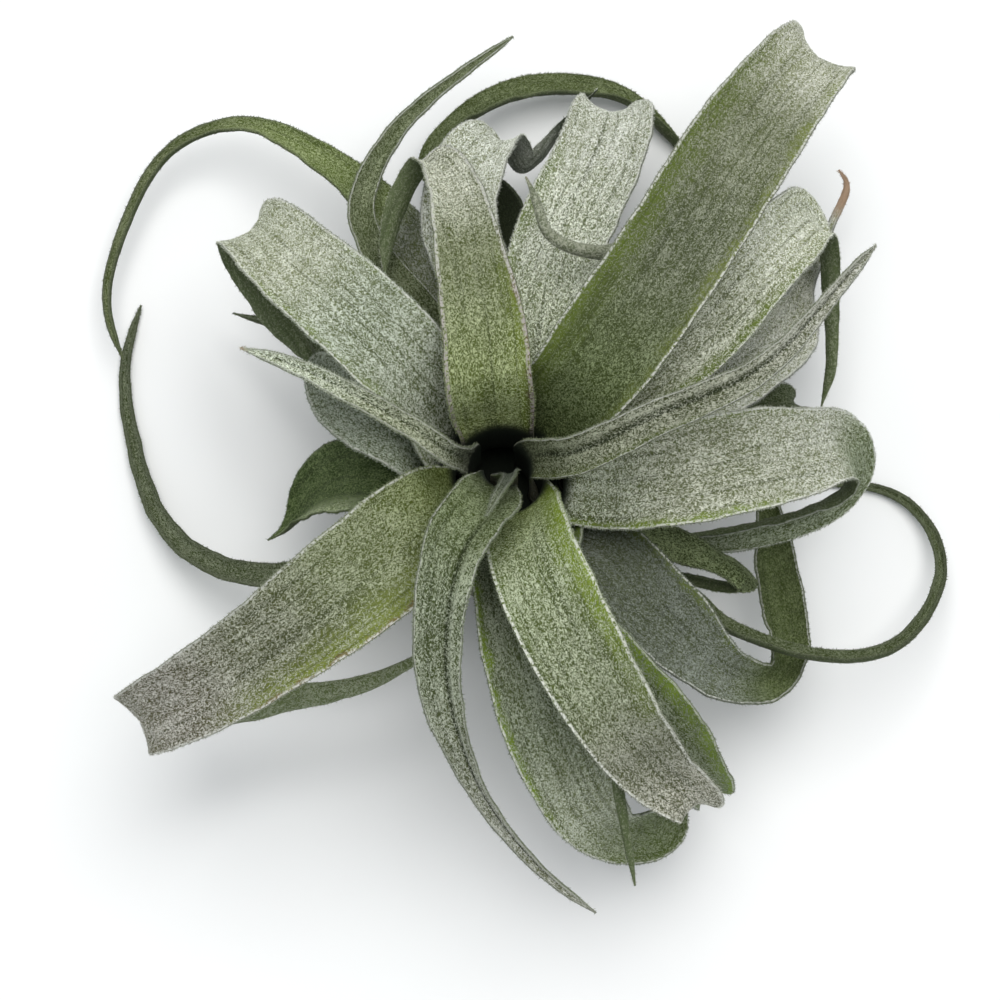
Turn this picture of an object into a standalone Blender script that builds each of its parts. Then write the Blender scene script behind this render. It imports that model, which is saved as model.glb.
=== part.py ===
# Air plant with a leafy bulb: a rosette of channelled leaves that arch out of nested sheaths,
# fold over at the rim and curl back under. Origin: centre of the flat foot, +Z up, metres.
import math

import bpy
import numpy as np

# Driving sizes in millimetres; everything below is worked out in millimetres and scaled once
METRES_PER_MM = 0.001
BLADE_THICK = 0.95
MARGIN_THICK = 0.62
SHEATH_THICK = 0.65
THIN_LEAF_HALF_WIDTH = 2.0

# The bulb: every sheath is a ring wall round the stem, one layer outside the last
LAYER_STEP = 1.58
NECK_RADIUS = 1.6
BULGE_EXTRA = 5.2
BULGE_HEIGHT = 14.0
NECK_HEIGHT = 38.0
LOWEST_ROOT = 30.0
ROOT_STEP = 2.0
HIGHEST_EXIT = 62.0
EXIT_STEP = 1.9
SHEATH_CURL = 14.0
SHEATH_RINGS = 9
BLEND_START = -2.0
BLEND_END = 12.0

# The stem that carries the sheaths, with the flat foot that the plant stands on
STEM_PROFILE = [(0.0, 0.0), (9.0, 0.0), (9.3, 0.6), (8.6, 1.2), (4.5, 1.5), (4.45, 19.8), (3.7, 20.9), (3.55, 27.4),
                (3.0, 28.8), (1.8, 30.2), (0.0, 30.8)]
STEM_SIDES = 20

RINGS = 28
BEND_WEIGHT = 14.0
WIDE_COLUMNS = 5
NARROW_COLUMNS = 3
NARROW_HALF_WIDTH = 3.6
SPLINE_SAMPLES = 801

# Each leaf: name, layer (1 is innermost), compass angle of its sheath, half of the sheath's wrap in degrees,
# colour, and the blade's route: x, y, z, half width, half angle of the channel's arc, and roll about the route
LEAVES = [
    ("leaf_01_bud", 1, 280, 62, "young", [
        (1.5, -5.0, 69, 1.8, 75), (-0.5, -11.0, 78, 1.5, 80), (-3.5, -17.0, 83, 0.6, 60)]),
    ("leaf_02_front_long", 2, 247, 60, "grey", [
        (-3.5, -10.5, 70, 7.2, 30), (-9.0, -20.0, 79, 6.9, 28), (-12.5, -32.5, 82, 5.7, 28),
        (-13.5, -44.5, 79, 5.1, 32), (-12.5, -54.0, 74, 4.4, 38), (-10.0, -61.5, 69, 3.3, 45),
        (-5.5, -70.5, 61, 2.2, 55), (1.5, -79.5, 53, 1.6, 60), (10.0, -87.5, 46, 1.1, 60),
        (20.0, -94.5, 41, 0.5, 60)]),
    ("leaf_03_right_long", 3, 22, 42, "grey", [
        (15.5, -1.5, 75, 4.4, 32), (28.5, 3.0, 83, 4.4, 30), (41.0, 8.0, 86, 4.2, 30),
        (51.5, 13.0, 85, 3.5, 35), (60.5, 21.0, 81, 2.8, 40), (67.5, 30.0, 76, 2.2, 45),
        (75.0, 40.0, 70, 1.5, 50), (82.0, 49.0, 64, 0.6, 50)]),
    ("leaf_04_left_long", 4, 156, 26, "grey", [
        (-11.0, -0.5, 71, 2.9, 60), (-19.5, 4.0, 76, 2.7, 58), (-32.0, 11.5, 75, 2.5, 52),
        (-44.0, 19.0, 70, 1.9, 50), (-57.0, 25.0, 65, 0.6, 50)]),
    ("leaf_05_front_broad", 5, 301, 52, "fresh", [
        (6.0, -20.0, 70, 9.8, 20), (11.0, -34.0, 75, 10.3, 20), (18.0, -47.5, 73, 10.0, 22),
        (26.5, -60.0, 66, 9.0, 25), (34.5, -67.5, 58, 7.8, 34), (41.0, -71.5, 51, 6.4, 45),
        (40.5, -71.5, 46, 5.0, 60), (35.5, -67.5, 46.5, 3.6, 75), (30.0, -63.0, 51, 2.6, 85),
        (25.8, -63.0, 54.5, 2.0, 90), (24.8, -68.5, 54, 1.6, 90), (26.5, -78.5, 49, 1.2, 100),
        (28.3, -89.0, 44, 0.5, 100)]),
    ("leaf_06_back_upright", 6, 98, 45, "fresh", [
        (-3.0, 15.5, 69, 9.5, 20), (-4.0, 26.0, 73, 9.2, 20), (-6.0, 38.0, 71, 8.4, 24),
        (-8.5, 52.0, 66, 7.2, 30), (-10.5, 62.5, 59, 6.4, 40), (-13.0, 70.5, 52, 5.9, 52),
        (-16.5, 75.0, 46, 5.7, 70), (-20.8, 70.5, 42, 5.3, 95), (-24.3, 61.5, 42, 4.4, 110),
        (-26.0, 53.5, 44, 2.6, 110), (-26.8, 47.5, 46, 0.9, 100)]),
    ("leaf_07_front_left_broad", 6, 214, 45, "fresh", [
        (-15.5, -13.0, 67, 10.5, 18), (-23.5, -22.0, 72, 12.3, 20), (-34.5, -31.3, 73, 12.0, 20),
        (-48.7, -40.8, 67, 10.7, 24), (-63.0, -48.2, 58, 9.7, 25), (-74.0, -52.5, 50.5, 8.6, 26),
        (-79.2, -53.2, 43, 7.6, 28), (-76.5, -50.5, 35, 6.8, 40), (-70.0, -47.8, 29, 5.8, 65),
        (-58.5, -46.2, 26, 5.0, 80), (-46.0, -44.0, 25, 4.0, 85), (-34.5, -42.2, 25, 3.0, 90),
        (-22.0, -37.4, 25, 1.5, 90), (-14.0, -32.5, 26, 0.6, 80)]),
    ("leaf_08_back_right_broad", 7, 53, 45, "fresh", [
        (16.0, 16.0, 67, 11.0, 20), (24.0, 25.5, 72, 12.0, 20), (36.5, 43.5, 74, 12.0, 22),
        (49.5, 65.5, 70, 12.2, 24), (62.0, 86.0, 60, 11.3, 30), (71.5, 100.0, 49, 10.0, 40),
        (73.0, 102.0, 39, 8.4, 55), (64.0, 93.0, 34, 6.8, 78), (45.5, 74.0, 39, 5.0, 100),
        (29.0, 54.0, 52, 3.2, 115), (18.5, 50.5, 58, 2.4, 110), (10.5, 54.0, 58.5, 1.7, 100),
        (8.2, 60.5, 57, 1.3, 95), (5.2, 68.5, 55, 0.6, 90)]),
    ("leaf_09_left_broad", 8, 137, 45, "silver", [
        (-17.0, 17.5, 62, 10.0, 18), (-24.5, 24.5, 67, 11.0, 20), (-35.0, 34.5, 67, 11.0, 22),
        (-45.5, 45.5, 60, 10.5, 28), (-53.5, 55.5, 51, 9.6, 34), (-58.0, 59.5, 42, 8.3, 46),
        (-56.5, 53.0, 35, 6.5, 80), (-49.5, 41.0, 34, 5.0, 100), (-45.0, 34.0, 35, 3.0, 110),
        (-43.0, 29.0, 35, 1.0, 100)]),
    ("leaf_10_right_broad", 8, 4, 45, "silver", [
        (21.0, -2.0, 54, 10.5, 18), (30.0, -3.5, 62, 11.0, 20), (42.0, -3.0, 67, 11.2, 20),
        (55.5, 0.5, 64, 11.0, 22), (67.0, 4.0, 57, 9.4, 28), (74.0, 7.0, 50, 8.2, 32),
        (78.5, 5.5, 42.5, 7.4, 40, 8), (77.5, 1.0, 36, 7.0, 50, 28), (68.0, -4.0, 32.5, 6.4, 60, 45),
        (54.0, -7.5, 31, 5.4, 75, 55), (42.0, -9.5, 31, 4.0, 85, 60), (33.5, -10.5, 31, 1.2, 90, 60)]),
    ("leaf_11_front_low", 9, 283, 45, "dusky", [
        (4.0, -27.0, 57, 10.3, 20), (6.5, -40.5, 60, 11.2, 20), (10.0, -53.5, 57, 11.2, 21),
        (14.5, -65.0, 50, 10.0, 26), (18.5, -72.0, 42, 8.8, 36), (24.0, -75.5, 33, 7.6, 44, -12),
        (31.5, -75.5, 27, 7.0, 46, -38), (36.5, -71.5, 22, 6.0, 54, -60),
        (35.5, -64.0, 19, 4.2, 75, -65), (33.0, -56.0, 18, 1.5, 90, -65)]),
    ("leaf_12_right_back", 9, 42, 45, "silver", [
        (22.5, 15.0, 55, 9.2, 18), (31.0, 21.5, 58, 9.5, 20), (43.5, 32.0, 57, 9.5, 22),
        (55.5, 47.0, 52, 9.2, 26), (65.5, 59.0, 45, 8.6, 34), (71.0, 65.0, 37, 7.4, 46),
        (74.5, 61.5, 30, 5.8, 75), (75.7, 52.0, 25, 4.4, 100), (76.5, 43.0, 22, 3.2, 110),
        (76.3, 33.5, 21, 2.4, 110), (74.5, 24.5, 21, 1.0, 100)]),
    ("leaf_13_back_low", 10, 73, 40, "silver", [
        (8.5, 35.0, 47, 9.5, 18), (11.5, 50.5, 46, 10.8, 20), (16.5, 65.0, 43, 11.2, 22),
        (22.0, 78.0, 38.5, 10.9, 26), (26.0, 93.0, 30.5, 10.2, 36), (25.2, 96.5, 21.5, 7.4, 68),
        (21.0, 87.0, 16, 4.4, 105), (18.0, 74.5, 15, 1.5, 105)]),
    ("leaf_14_left_low", 10, 160, 40, "silver", [
        (-20.5, 9.0, 51, 10.0, 18), (-28.5, 14.0, 50.5, 10.6, 20), (-34.0, 20.0, 46, 9.6, 28),
        (-37.0, 26.5, 41, 8.2, 45), (-36.8, 30.0, 37, 6.2, 75), (-33.8, 27.8, 36.5, 3.8, 95),
        (-30.5, 24.0, 38, 1.0, 100)]),
    ("leaf_15_front_under", 10, 305, 40, "fresh", [
        (10.5, -23.5, 51, 8.0, 18), (15.5, -34.0, 55, 7.8, 20), (24.0, -44.5, 54, 8.4, 22),
        (34.5, -54.5, 48, 8.2, 28), (42.5, -63.5, 38, 6.8, 40), (46.0, -66.5, 29, 5.4, 60),
        (43.5, -63.5, 22, 4.0, 85), (38.5, -57.0, 18.5, 3.0, 100), (33.0, -49.5, 17, 1.0, 100)]),
    ("leaf_16_back_inner", 11, 91, 40, "silver", [
        (-0.5, 33.0, 42, 8.0, 18), (-4.5, 45.0, 43.5, 8.5, 20), (-9.5, 59.0, 41.5, 9.0, 22),
        (-9.5, 71.0, 38, 9.0, 26), (-6.5, 81.0, 34, 8.8, 34), (-2.5, 88.0, 28, 7.6, 50),
        (1.0, 88.5, 21, 6.4, 65), (4.5, 85.0, 17, 5.4, 80), (9.5, 88.5, 17, 4.2, 90),
        (14.0, 94.5, 18, 2.6, 95), (18.0, 99.5, 18, 1.3, 90), (23.0, 105.5, 18, 0.6, 80)]),
    ("leaf_17_left_curl", 11, 192, 40, "dusky", [
        (-24.0, 0.0, 43.5, 8.5, 20, -35), (-32.5, 3.0, 38.5, 9.0, 22, -58),
        (-39.5, 3.5, 31.5, 8.8, 30, -60), (-45.0, 0.0, 25.5, 6.8, 45, -55),
        (-49.5, -4.5, 21, 2.4, 70, -50), (-54.5, -7.2, 19, 0.6, 70, -50)]),
    ("leaf_18_front_right", 11, 320, 40, "dusky", [
        (23.0, -17.5, 47, 9.0, 18), (30.0, -26.0, 48, 9.8, 20), (37.5, -32.5, 44, 9.4, 24),
        (44.5, -38.5, 38, 7.6, 34), (52.5, -42.0, 31, 6.0, 50, -8), (61.0, -40.8, 24, 5.2, 75, -30),
        (65.0, -32.0, 19.5, 5.6, 60, -58), (64.0, -20.0, 17, 5.8, 50, -65),
        (62.8, -7.0, 15, 5.0, 60, -65), (62.0, 3.0, 14, 3.0, 75, -65),
        (61.5, 10.0, 13.5, 1.0, 80, -65)]),
    ("leaf_19_right_dry_tip", 12, 22, 38, "silver", [
        (30.5, 14.0, 46, 8.5, 18), (42.0, 19.5, 47, 9.5, 20), (54.0, 28.5, 42, 10.0, 25),
        (62.5, 36.5, 34.5, 9.5, 36), (67.0, 43.0, 27, 7.0, 60), (70.5, 53.0, 21, 3.6, 90),
        (75.5, 63.0, 18, 2.0, 90), (79.5, 72.5, 18, 1.0, 80), (82.5, 80.0, 20, 0.8, 60),
        (80.5, 83.5, 21, 0.6, 60)]),
    ("leaf_20_back_sickle", 12, 124, 38, "dusky", [
        (-17.0, 36.5, 38, 7.0, 22), (-26.0, 51.0, 37, 4.8, 27), (-33.0, 65.5, 35, 3.5, 36),
        (-31.0, 79.0, 31.5, 2.9, 48), (-23.2, 94.0, 26, 2.3, 62), (-11.0, 107.0, 22, 1.6, 75),
        (2.6, 119.0, 19, 0.6, 70)]),
    ("leaf_21_left_tendril", 12, 206, 38, "dark", [
        (-26.5, -10.0, 35, 5.5, 25), (-38.0, -14.5, 28, 4.4, 38), (-52.0, -16.5, 19.5, 3.9, 58),
        (-69.0, -11.0, 10, 3.4, 75), (-82.0, 2.0, 3.8, 2.8, 82), (-89.3, 22.0, 1.0, 2.2, 85),
        (-91.8, 40.0, 0.8, 1.5, 85), (-88.5, 56.0, 1.2, 0.6, 80)]),
    ("leaf_22_right_hook", 13, 336, 36, "dark", [
        (29.0, -10.5, 40, 5.0, 25), (40.5, -13.5, 38.5, 3.8, 40, 35), (50.0, -16.5, 35.5, 3.0, 60, 60),
        (54.8, -19.8, 30.5, 2.8, 75, 60), (50.0, -19.0, 26.5, 2.8, 85, 55),
        (43.5, -17.0, 24.5, 2.4, 90, 50), (36.5, -15.5, 23.5, 0.8, 100, 50)]),
    ("leaf_23_back_left_tendril", 13, 108, 36, "dark", [
        (-14.5, 45.5, 29, 8.0, 22), (-22.0, 61.5, 29, 6.8, 27), (-33.5, 77.0, 25, 4.9, 35),
        (-49.0, 90.0, 20, 3.6, 50), (-64.0, 97.5, 14, 2.6, 75), (-81.0, 92.5, 10, 2.2, 85),
        (-91.5, 74.5, 8, 1.9, 85), (-95.5, 55.0, 8, 1.4, 80), (-91.0, 39.5, 9, 0.6, 70)]),
    ("leaf_24_loop_tendril", 14, 318, 34, "dark", [
        (27.5, -17.5, 33, 6.0, 24), (41.5, -24.5, 34, 4.6, 40), (48.5, -30.0, 33.5, 3.4, 55),
        (58.0, -34.0, 32, 2.9, 62), (68.0, -36.5, 30, 2.7, 66), (86.5, -34.5, 22, 2.3, 80),
        (99.5, -22.0, 13, 1.9, 90), (103.5, -7.5, 5.5, 1.7, 90), (97.0, 5.8, 1.5, 1.5, 90),
        (85.5, 10.5, 0.7, 1.1, 90), (76.5, 10.5, 0.7, 0.6, 80)]),
    ("leaf_25_right_curl", 14, 12, 18, "dusky", [
        (42.0, 12.5, 38, 6.0, 20), (54.0, 17.5, 35, 5.5, 30), (63.5, 23.5, 28, 5.0, 50),
        (68.0, 24.5, 22, 4.0, 70), (66.0, 22.5, 18, 3.0, 90), (60.0, 20.0, 15, 1.0, 90)]),
    ("leaf_26_arc_tendril", 14, 80, 34, "dark", [
        (-0.5, 50.0, 25, 7.5, 24), (1.5, 69.0, 20.5, 7.5, 28), (-7.0, 80.0, 17.5, 6.2, 36),
        (-15.8, 88.2, 14.5, 5.3, 46), (-13.0, 96.0, 12, 5.1, 52, 8), (-4.5, 103.8, 10, 5.0, 54, 25),
        (6.0, 109.0, 8, 4.9, 56, 36), (20.5, 110.4, 5.7, 4.6, 60, 38), (32.0, 107.4, 4.0, 4.0, 70, 26),
        (40.5, 100.0, 2.8, 3.2, 80, 10), (44.5, 94.5, 1.9, 2.2, 85), (42.5, 87.5, 1.6, 0.8, 85)]),
    ("leaf_27_left_spike", 14, 146, 18, "dark", [
        (-28.5, 25.0, 28, 4.6, 28), (-40.5, 35.5, 22.5, 3.4, 45), (-51.5, 44.0, 17, 2.1, 65),
        (-58.5, 48.0, 13, 1.5, 80), (-65.0, 51.0, 10, 0.6, 80)]),
]

LEAF_COLOURS = {
    "young": (0.34, 0.42, 0.26),
    "grey": (0.30, 0.35, 0.25),
    "fresh": (0.27, 0.35, 0.17),
    "silver": (0.38, 0.43, 0.35),
    "dusky": (0.25, 0.30, 0.20),
    "dark": (0.17, 0.24, 0.11),
}
STEM_COLOUR = (0.22, 0.14, 0.08)


def smooth(x):
    x = np.clip(x, 0.0, 1.0)
    return x * x * (3.0 - 2.0 * x)


def layer_radius(layer, height):
    """Radius of one sheath layer at a height: a narrow neck above a round bulge."""
    swell = smooth((NECK_HEIGHT - height) / (NECK_HEIGHT - BULGE_HEIGHT))
    return NECK_RADIUS + LAYER_STEP * layer + BULGE_EXTRA * float(swell)


def sheath_route(layer, compass, wrap):
    """Rows of x, y, z, half width and channel angle up the sheath, from the stem to the neck."""
    root = LOWEST_ROOT - ROOT_STEP * layer
    leave = HIGHEST_EXIT - EXIT_STEP * layer
    stem = 5.0 if layer > 4 else 4.2
    belly = root + 5.0
    belly_radius = layer_radius(layer, belly)
    profile = [(stem, root), (stem + 0.62 * (belly_radius - stem), root + 1.0), (belly_radius, belly)]
    for share in (0.35, 0.7, 1.0):
        height = belly + (leave - belly) * share
        profile.append((layer_radius(layer, height), height))
    across, along = math.cos(compass), math.sin(compass)
    return [(r * across, r * along, z, wrap * r, SHEATH_CURL, 0.0) for r, z in profile]


def knot_spacing(points):
    """Centripetal parameter of each route point."""
    return np.concatenate([[0.0], np.cumsum(np.linalg.norm(np.diff(points, axis=0), axis=1) ** 0.5)])


def curve_through(points, samples):
    """Natural cubic curve through the route points."""
    t = knot_spacing(points)
    h = np.diff(t)
    n = len(points)
    bend = np.zeros((n, n))
    pull = np.zeros_like(points)
    bend[0, 0] = bend[-1, -1] = 1.0
    for i in range(1, n - 1):
        bend[i, i - 1:i + 2] = (h[i - 1], 2.0 * (h[i - 1] + h[i]), h[i])
        pull[i] = 6.0 * ((points[i + 1] - points[i]) / h[i] - (points[i] - points[i - 1]) / h[i - 1])
    m = np.linalg.solve(bend, pull)
    x = np.linspace(0.0, t[-1], samples)
    k = np.clip(np.searchsorted(t, x, side="right") - 1, 0, n - 2)
    after = (x - t[k])[:, None]
    before = (t[k + 1] - x)[:, None]
    step = h[k][:, None]
    curve = (m[k] * before ** 3 + m[k + 1] * after ** 3) / (6.0 * step)
    curve += (points[k] / step - m[k] * step / 6.0) * before
    curve += (points[k + 1] / step - m[k + 1] * step / 6.0) * after
    return curve


def ease_through(knots, values, at):
    """Monotone cubic through values given at the knots, so that widths never overshoot."""
    h = np.diff(knots)
    slope = np.diff(values) / h
    m = np.zeros_like(values)
    for i in range(1, len(values) - 1):
        if slope[i - 1] * slope[i] > 0.0:
            left, right = 2.0 * h[i] + h[i - 1], h[i] + 2.0 * h[i - 1]
            m[i] = (left + right) / (left / slope[i - 1] + right / slope[i])
    m[0], m[-1] = slope[0], slope[-1]
    k = np.clip(np.searchsorted(knots, at, side="right") - 1, 0, len(knots) - 2)
    t = (at - knots[k]) / h[k]
    first = (2 * t ** 3 - 3 * t ** 2 + 1) * values[k] + (t ** 3 - 2 * t ** 2 + t) * h[k] * m[k]
    return first + (3 * t ** 2 - 2 * t ** 3) * values[k + 1] + (t ** 3 - t ** 2) * h[k] * m[k + 1]


def carried_side(curve, tangent, side):
    """Side direction carried along the curve without spin, by double reflection."""
    carried = np.zeros_like(curve)
    side = side - tangent[0] * (side @ tangent[0])
    side /= np.linalg.norm(side)
    carried[0] = side
    for i in range(1, len(curve)):
        step = curve[i] - curve[i - 1]
        length = step @ step
        side = side - (2.0 / length) * (step @ side) * step
        bent = tangent[i - 1] - (2.0 / length) * (step @ tangent[i - 1]) * step
        turn = tangent[i] - bent
        size = turn @ turn
        if size > 1e-18:
            side = side - (2.0 / size) * (turn @ side) * turn
        side = side - tangent[i] * (side @ tangent[i])
        side /= np.linalg.norm(side)
        carried[i] = side
    return carried


def unit(vectors):
    return vectors / np.maximum(np.linalg.norm(vectors, axis=-1, keepdims=True), 1e-9)


def leaf_faces(layer, compass_deg, wrap_deg, route, columns):
    """Upper and lower point grids of one leaf, rings along by columns across."""
    compass, wrap = math.radians(compass_deg), math.radians(wrap_deg)
    sheath = sheath_route(layer, compass, wrap)
    rows = np.array(sheath + [tuple(p) + (0.0,) * (6 - len(p)) for p in route], float)
    curve = curve_through(rows[:, :3], SPLINE_SAMPLES)
    run = np.concatenate([[0.0], np.cumsum(np.linalg.norm(np.diff(curve, axis=0), axis=1))])
    knots = knot_spacing(rows[:, :3])
    knot_run = np.interp(knots, np.linspace(0.0, knots[-1], SPLINE_SAMPLES), run)
    tangent = unit(np.gradient(curve, axis=0))
    side = carried_side(curve, tangent, np.array([-math.sin(compass), math.cos(compass), 0.0]))

    # Rings: even up the sheath, then closer together where the blade bends
    leave = knot_run[len(sheath) - 1]
    low = np.linspace(0.0, leave, SHEATH_RINGS + 1)[:-1]
    bend = np.linalg.norm(np.diff(tangent, axis=0), axis=1)
    pace = np.concatenate([[0.0], np.cumsum(np.diff(run) + BEND_WEIGHT * bend)])
    high = np.linspace(np.interp(leave, run, pace), pace[-1], RINGS - SHEATH_RINGS + 1)
    at = np.concatenate([low, np.interp(high, pace, run)])
    centre = np.stack([np.interp(at, run, curve[:, i]) for i in range(3)], 1)
    t = unit(np.stack([np.interp(at, run, tangent[:, i]) for i in range(3)], 1))
    w = np.stack([np.interp(at, run, side[:, i]) for i in range(3)], 1)
    w = unit(w - t * np.sum(w * t, axis=1, keepdims=True))
    n = np.cross(t, w)
    half_width = ease_through(knot_run, rows[:, 3], at)
    curl = np.radians(ease_through(knot_run, rows[:, 4], at))
    roll = np.radians(ease_through(knot_run, rows[:, 5], at))[:, None]
    w, n = w * np.cos(roll) + n * np.sin(roll), n * np.cos(roll) - w * np.sin(roll)

    # Blade: an arc across the route, margins lifted to the upper side
    place = np.linspace(-1.0, 1.0, columns)
    arc_radius = (half_width / curl)[:, None]
    angle = curl[:, None] * place
    blade = centre[:, None] + w[:, None] * (arc_radius * np.sin(angle))[..., None]
    blade = blade + n[:, None] * (arc_radius * (1.0 - np.cos(angle)))[..., None]
    blade_up = n[:, None] * np.cos(angle)[..., None] - w[:, None] * np.sin(angle)[..., None]

    # Sheath: a wall bent round the plant's axis
    radius = np.maximum(np.hypot(centre[:, 0], centre[:, 1]), 0.5)
    facing = np.arctan2(centre[:, 1], centre[:, 0])
    around = facing[:, None] + np.minimum(half_width / radius, 2.9)[:, None] * place
    flat = np.zeros_like(around)
    wall = np.stack([radius[:, None] * np.cos(around), radius[:, None] * np.sin(around),
                     flat + centre[:, 2:]], -1)
    outward = t[:, 0] * np.cos(facing) + t[:, 1] * np.sin(facing)
    lean = np.maximum(np.hypot(outward, t[:, 2]), 1e-6)
    inward = (-t[:, 2] / lean)[:, None]
    wall_up = np.stack([inward * np.cos(around), inward * np.sin(around), flat + (outward / lean)[:, None]], -1)

    blend = smooth((at - leave - BLEND_START) / (BLEND_END - BLEND_START))[:, None, None]
    middle = wall * (1.0 - blend) + blade * blend
    up = unit(wall_up * (1.0 - blend) + blade_up * blend)
    thick = BLADE_THICK + (MARGIN_THICK - BLADE_THICK) * place ** 2
    narrow = np.clip(half_width / THIN_LEAF_HALF_WIDTH, 0.0, 1.0)[:, None]
    thick = (MARGIN_THICK + (thick - MARGIN_THICK) * narrow)[..., None]
    thick = SHEATH_THICK * (1.0 - blend) + thick * blend
    return middle + up * thick / 2.0, middle - up * thick / 2.0


def skin_faces(rings, columns):
    """Triangles of both faces, split alike, with the margins and the two ends closed."""
    under = rings * columns
    faces = []
    for i in range(rings - 1):
        for j in range(columns - 1):
            a, b = i * columns + j, (i + 1) * columns + j
            split = [(a, b, b + 1), (a, b + 1, a + 1)] if j < columns // 2 else [(a, b, a + 1), (b, b + 1, a + 1)]
            for p, q, r in split:
                faces.append((p, q, r))
                faces.append((p + under, r + under, q + under))
        for j, flip in ((0, False), (columns - 1, True)):
            a, b = i * columns + j, (i + 1) * columns + j
            strip = [(a, a + under, b + under), (a, b + under, b)]
            faces.extend([f[::-1] for f in strip] if flip else strip)
    for start, flip in ((0, True), ((rings - 1) * columns, False)):
        for j in range(columns - 1):
            a, b = start + j, start + j + 1
            strip = [(a, a + under, b + under), (a, b + under, b)]
            faces.extend([f[::-1] for f in strip] if flip else strip)
    return faces


def material(name, colour, roughness):
    made = bpy.data.materials.new(name)
    made.use_nodes = True
    shader = made.node_tree.nodes["Principled BSDF"]
    shader.inputs["Base Color"].default_value = (*colour, 1.0)
    shader.inputs["Roughness"].default_value = roughness
    shader.inputs["Metallic"].default_value = 0.0
    made.diffuse_color = (*colour, 1.0)
    return made


def place_solid(name, points, faces, colour, roughness, parent):
    mesh = bpy.data.meshes.new(name)
    mesh.from_pydata((np.asarray(points) * METRES_PER_MM).tolist(), [], faces)
    mesh.shade_smooth()
    mesh.set_sharp_from_angle(angle=math.radians(50.0))
    mesh.materials.append(material(name, colour, roughness))
    piece = bpy.data.objects.new(name, mesh)
    bpy.context.scene.collection.objects.link(piece)
    piece.parent = parent


def signed_volume(points, faces):
    corner = points[np.array(faces)]
    return float(np.sum(corner[:, 0] * np.cross(corner[:, 1], corner[:, 2]))) / 6.0


def make_leaf(name, layer, compass, wrap, tone, route, parent):
    columns = WIDE_COLUMNS if max(p[3] for p in route) > NARROW_HALF_WIDTH else NARROW_COLUMNS
    top, bottom = leaf_faces(layer, compass, wrap, route, columns)
    points = np.concatenate([top.reshape(-1, 3), bottom.reshape(-1, 3)])
    faces = skin_faces(RINGS + 1, columns)
    if signed_volume(points, faces) < 0.0:
        faces = [f[::-1] for f in faces]
    place_solid(name, points, faces, LEAF_COLOURS[tone], 0.75, parent)


def make_stem(parent):
    """Turned stem: flat foot, straight shaft and a rounded top inside the inner sheaths."""
    points = [(0.0, 0.0, STEM_PROFILE[0][1]), (0.0, 0.0, STEM_PROFILE[-1][1])]
    rings = STEM_PROFILE[1:-1]
    for radius, height in rings:
        for i in range(STEM_SIDES):
            turn = 2.0 * math.pi * i / STEM_SIDES
            points.append((radius * math.cos(turn), radius * math.sin(turn), height))
    faces = []
    for i in range(STEM_SIDES):
        j = (i + 1) % STEM_SIDES
        faces.append((0, 2 + j, 2 + i))
        last = 2 + (len(rings) - 1) * STEM_SIDES
        faces.append((1, last + i, last + j))
        for k in range(len(rings) - 1):
            low, high = 2 + k * STEM_SIDES, 2 + (k + 1) * STEM_SIDES
            faces.append((low + i, low + j, high + j))
            faces.append((low + i, high + j, high + i))
    place_solid("stem", points, faces, STEM_COLOUR, 0.9, parent)


def main():
    for old in list(bpy.data.objects):
        bpy.data.objects.remove(old, do_unlink=True)
    plant = bpy.data.objects.new("air_plant", None)
    bpy.context.scene.collection.objects.link(plant)
    make_stem(plant)
    for name, layer, compass, wrap, tone, route in LEAVES:
        make_leaf(name, layer, compass, wrap, tone, route, plant)


main()
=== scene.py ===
# Curly air plant on a white table: finely swept leaves with felted scales, fuzzy margins and dry tips
import math

import bpy
import numpy as np
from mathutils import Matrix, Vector


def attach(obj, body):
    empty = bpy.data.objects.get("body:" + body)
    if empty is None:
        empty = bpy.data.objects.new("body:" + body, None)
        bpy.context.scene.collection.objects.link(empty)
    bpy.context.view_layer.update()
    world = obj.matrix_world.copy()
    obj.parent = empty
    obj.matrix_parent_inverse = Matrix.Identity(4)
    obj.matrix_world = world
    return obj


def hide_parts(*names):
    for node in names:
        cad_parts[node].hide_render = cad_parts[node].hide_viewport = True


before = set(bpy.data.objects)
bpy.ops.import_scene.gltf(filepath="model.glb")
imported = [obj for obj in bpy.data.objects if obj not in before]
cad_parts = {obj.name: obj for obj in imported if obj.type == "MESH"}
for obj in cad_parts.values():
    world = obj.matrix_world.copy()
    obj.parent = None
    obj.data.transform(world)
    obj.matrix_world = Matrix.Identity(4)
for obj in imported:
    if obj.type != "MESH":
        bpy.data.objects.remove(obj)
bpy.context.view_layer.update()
mm = 0.001

# The camera comes first: it looks down steeply, as one photographs a plant on a table
camera = {
    "elevation": 76.0, "distance": 0.55, "target": (-0.00065, -0.0053, 0.05), "lens": 90.0, "sensor": 36.0,
    "nearest": 0.02,
}


def placeCamera(spec):
    rise = math.radians(spec["elevation"])
    target = Vector(spec["target"])
    back = Vector((0.0, -math.cos(rise), math.sin(rise)))
    lensData = bpy.data.cameras.new("tableCamera")
    lensData.lens = spec["lens"]
    lensData.sensor_width = spec["sensor"]
    lensData.clip_start = spec["nearest"]
    viewer = bpy.data.objects.new("tableCamera", lensData)
    viewer.location = target + back * spec["distance"]
    viewer.rotation_euler = back.to_track_quat("Z", "Y").to_euler()
    bpy.context.scene.collection.objects.link(viewer)
    bpy.context.scene.camera = viewer


placeCamera(camera)
print("camera placed")

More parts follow.
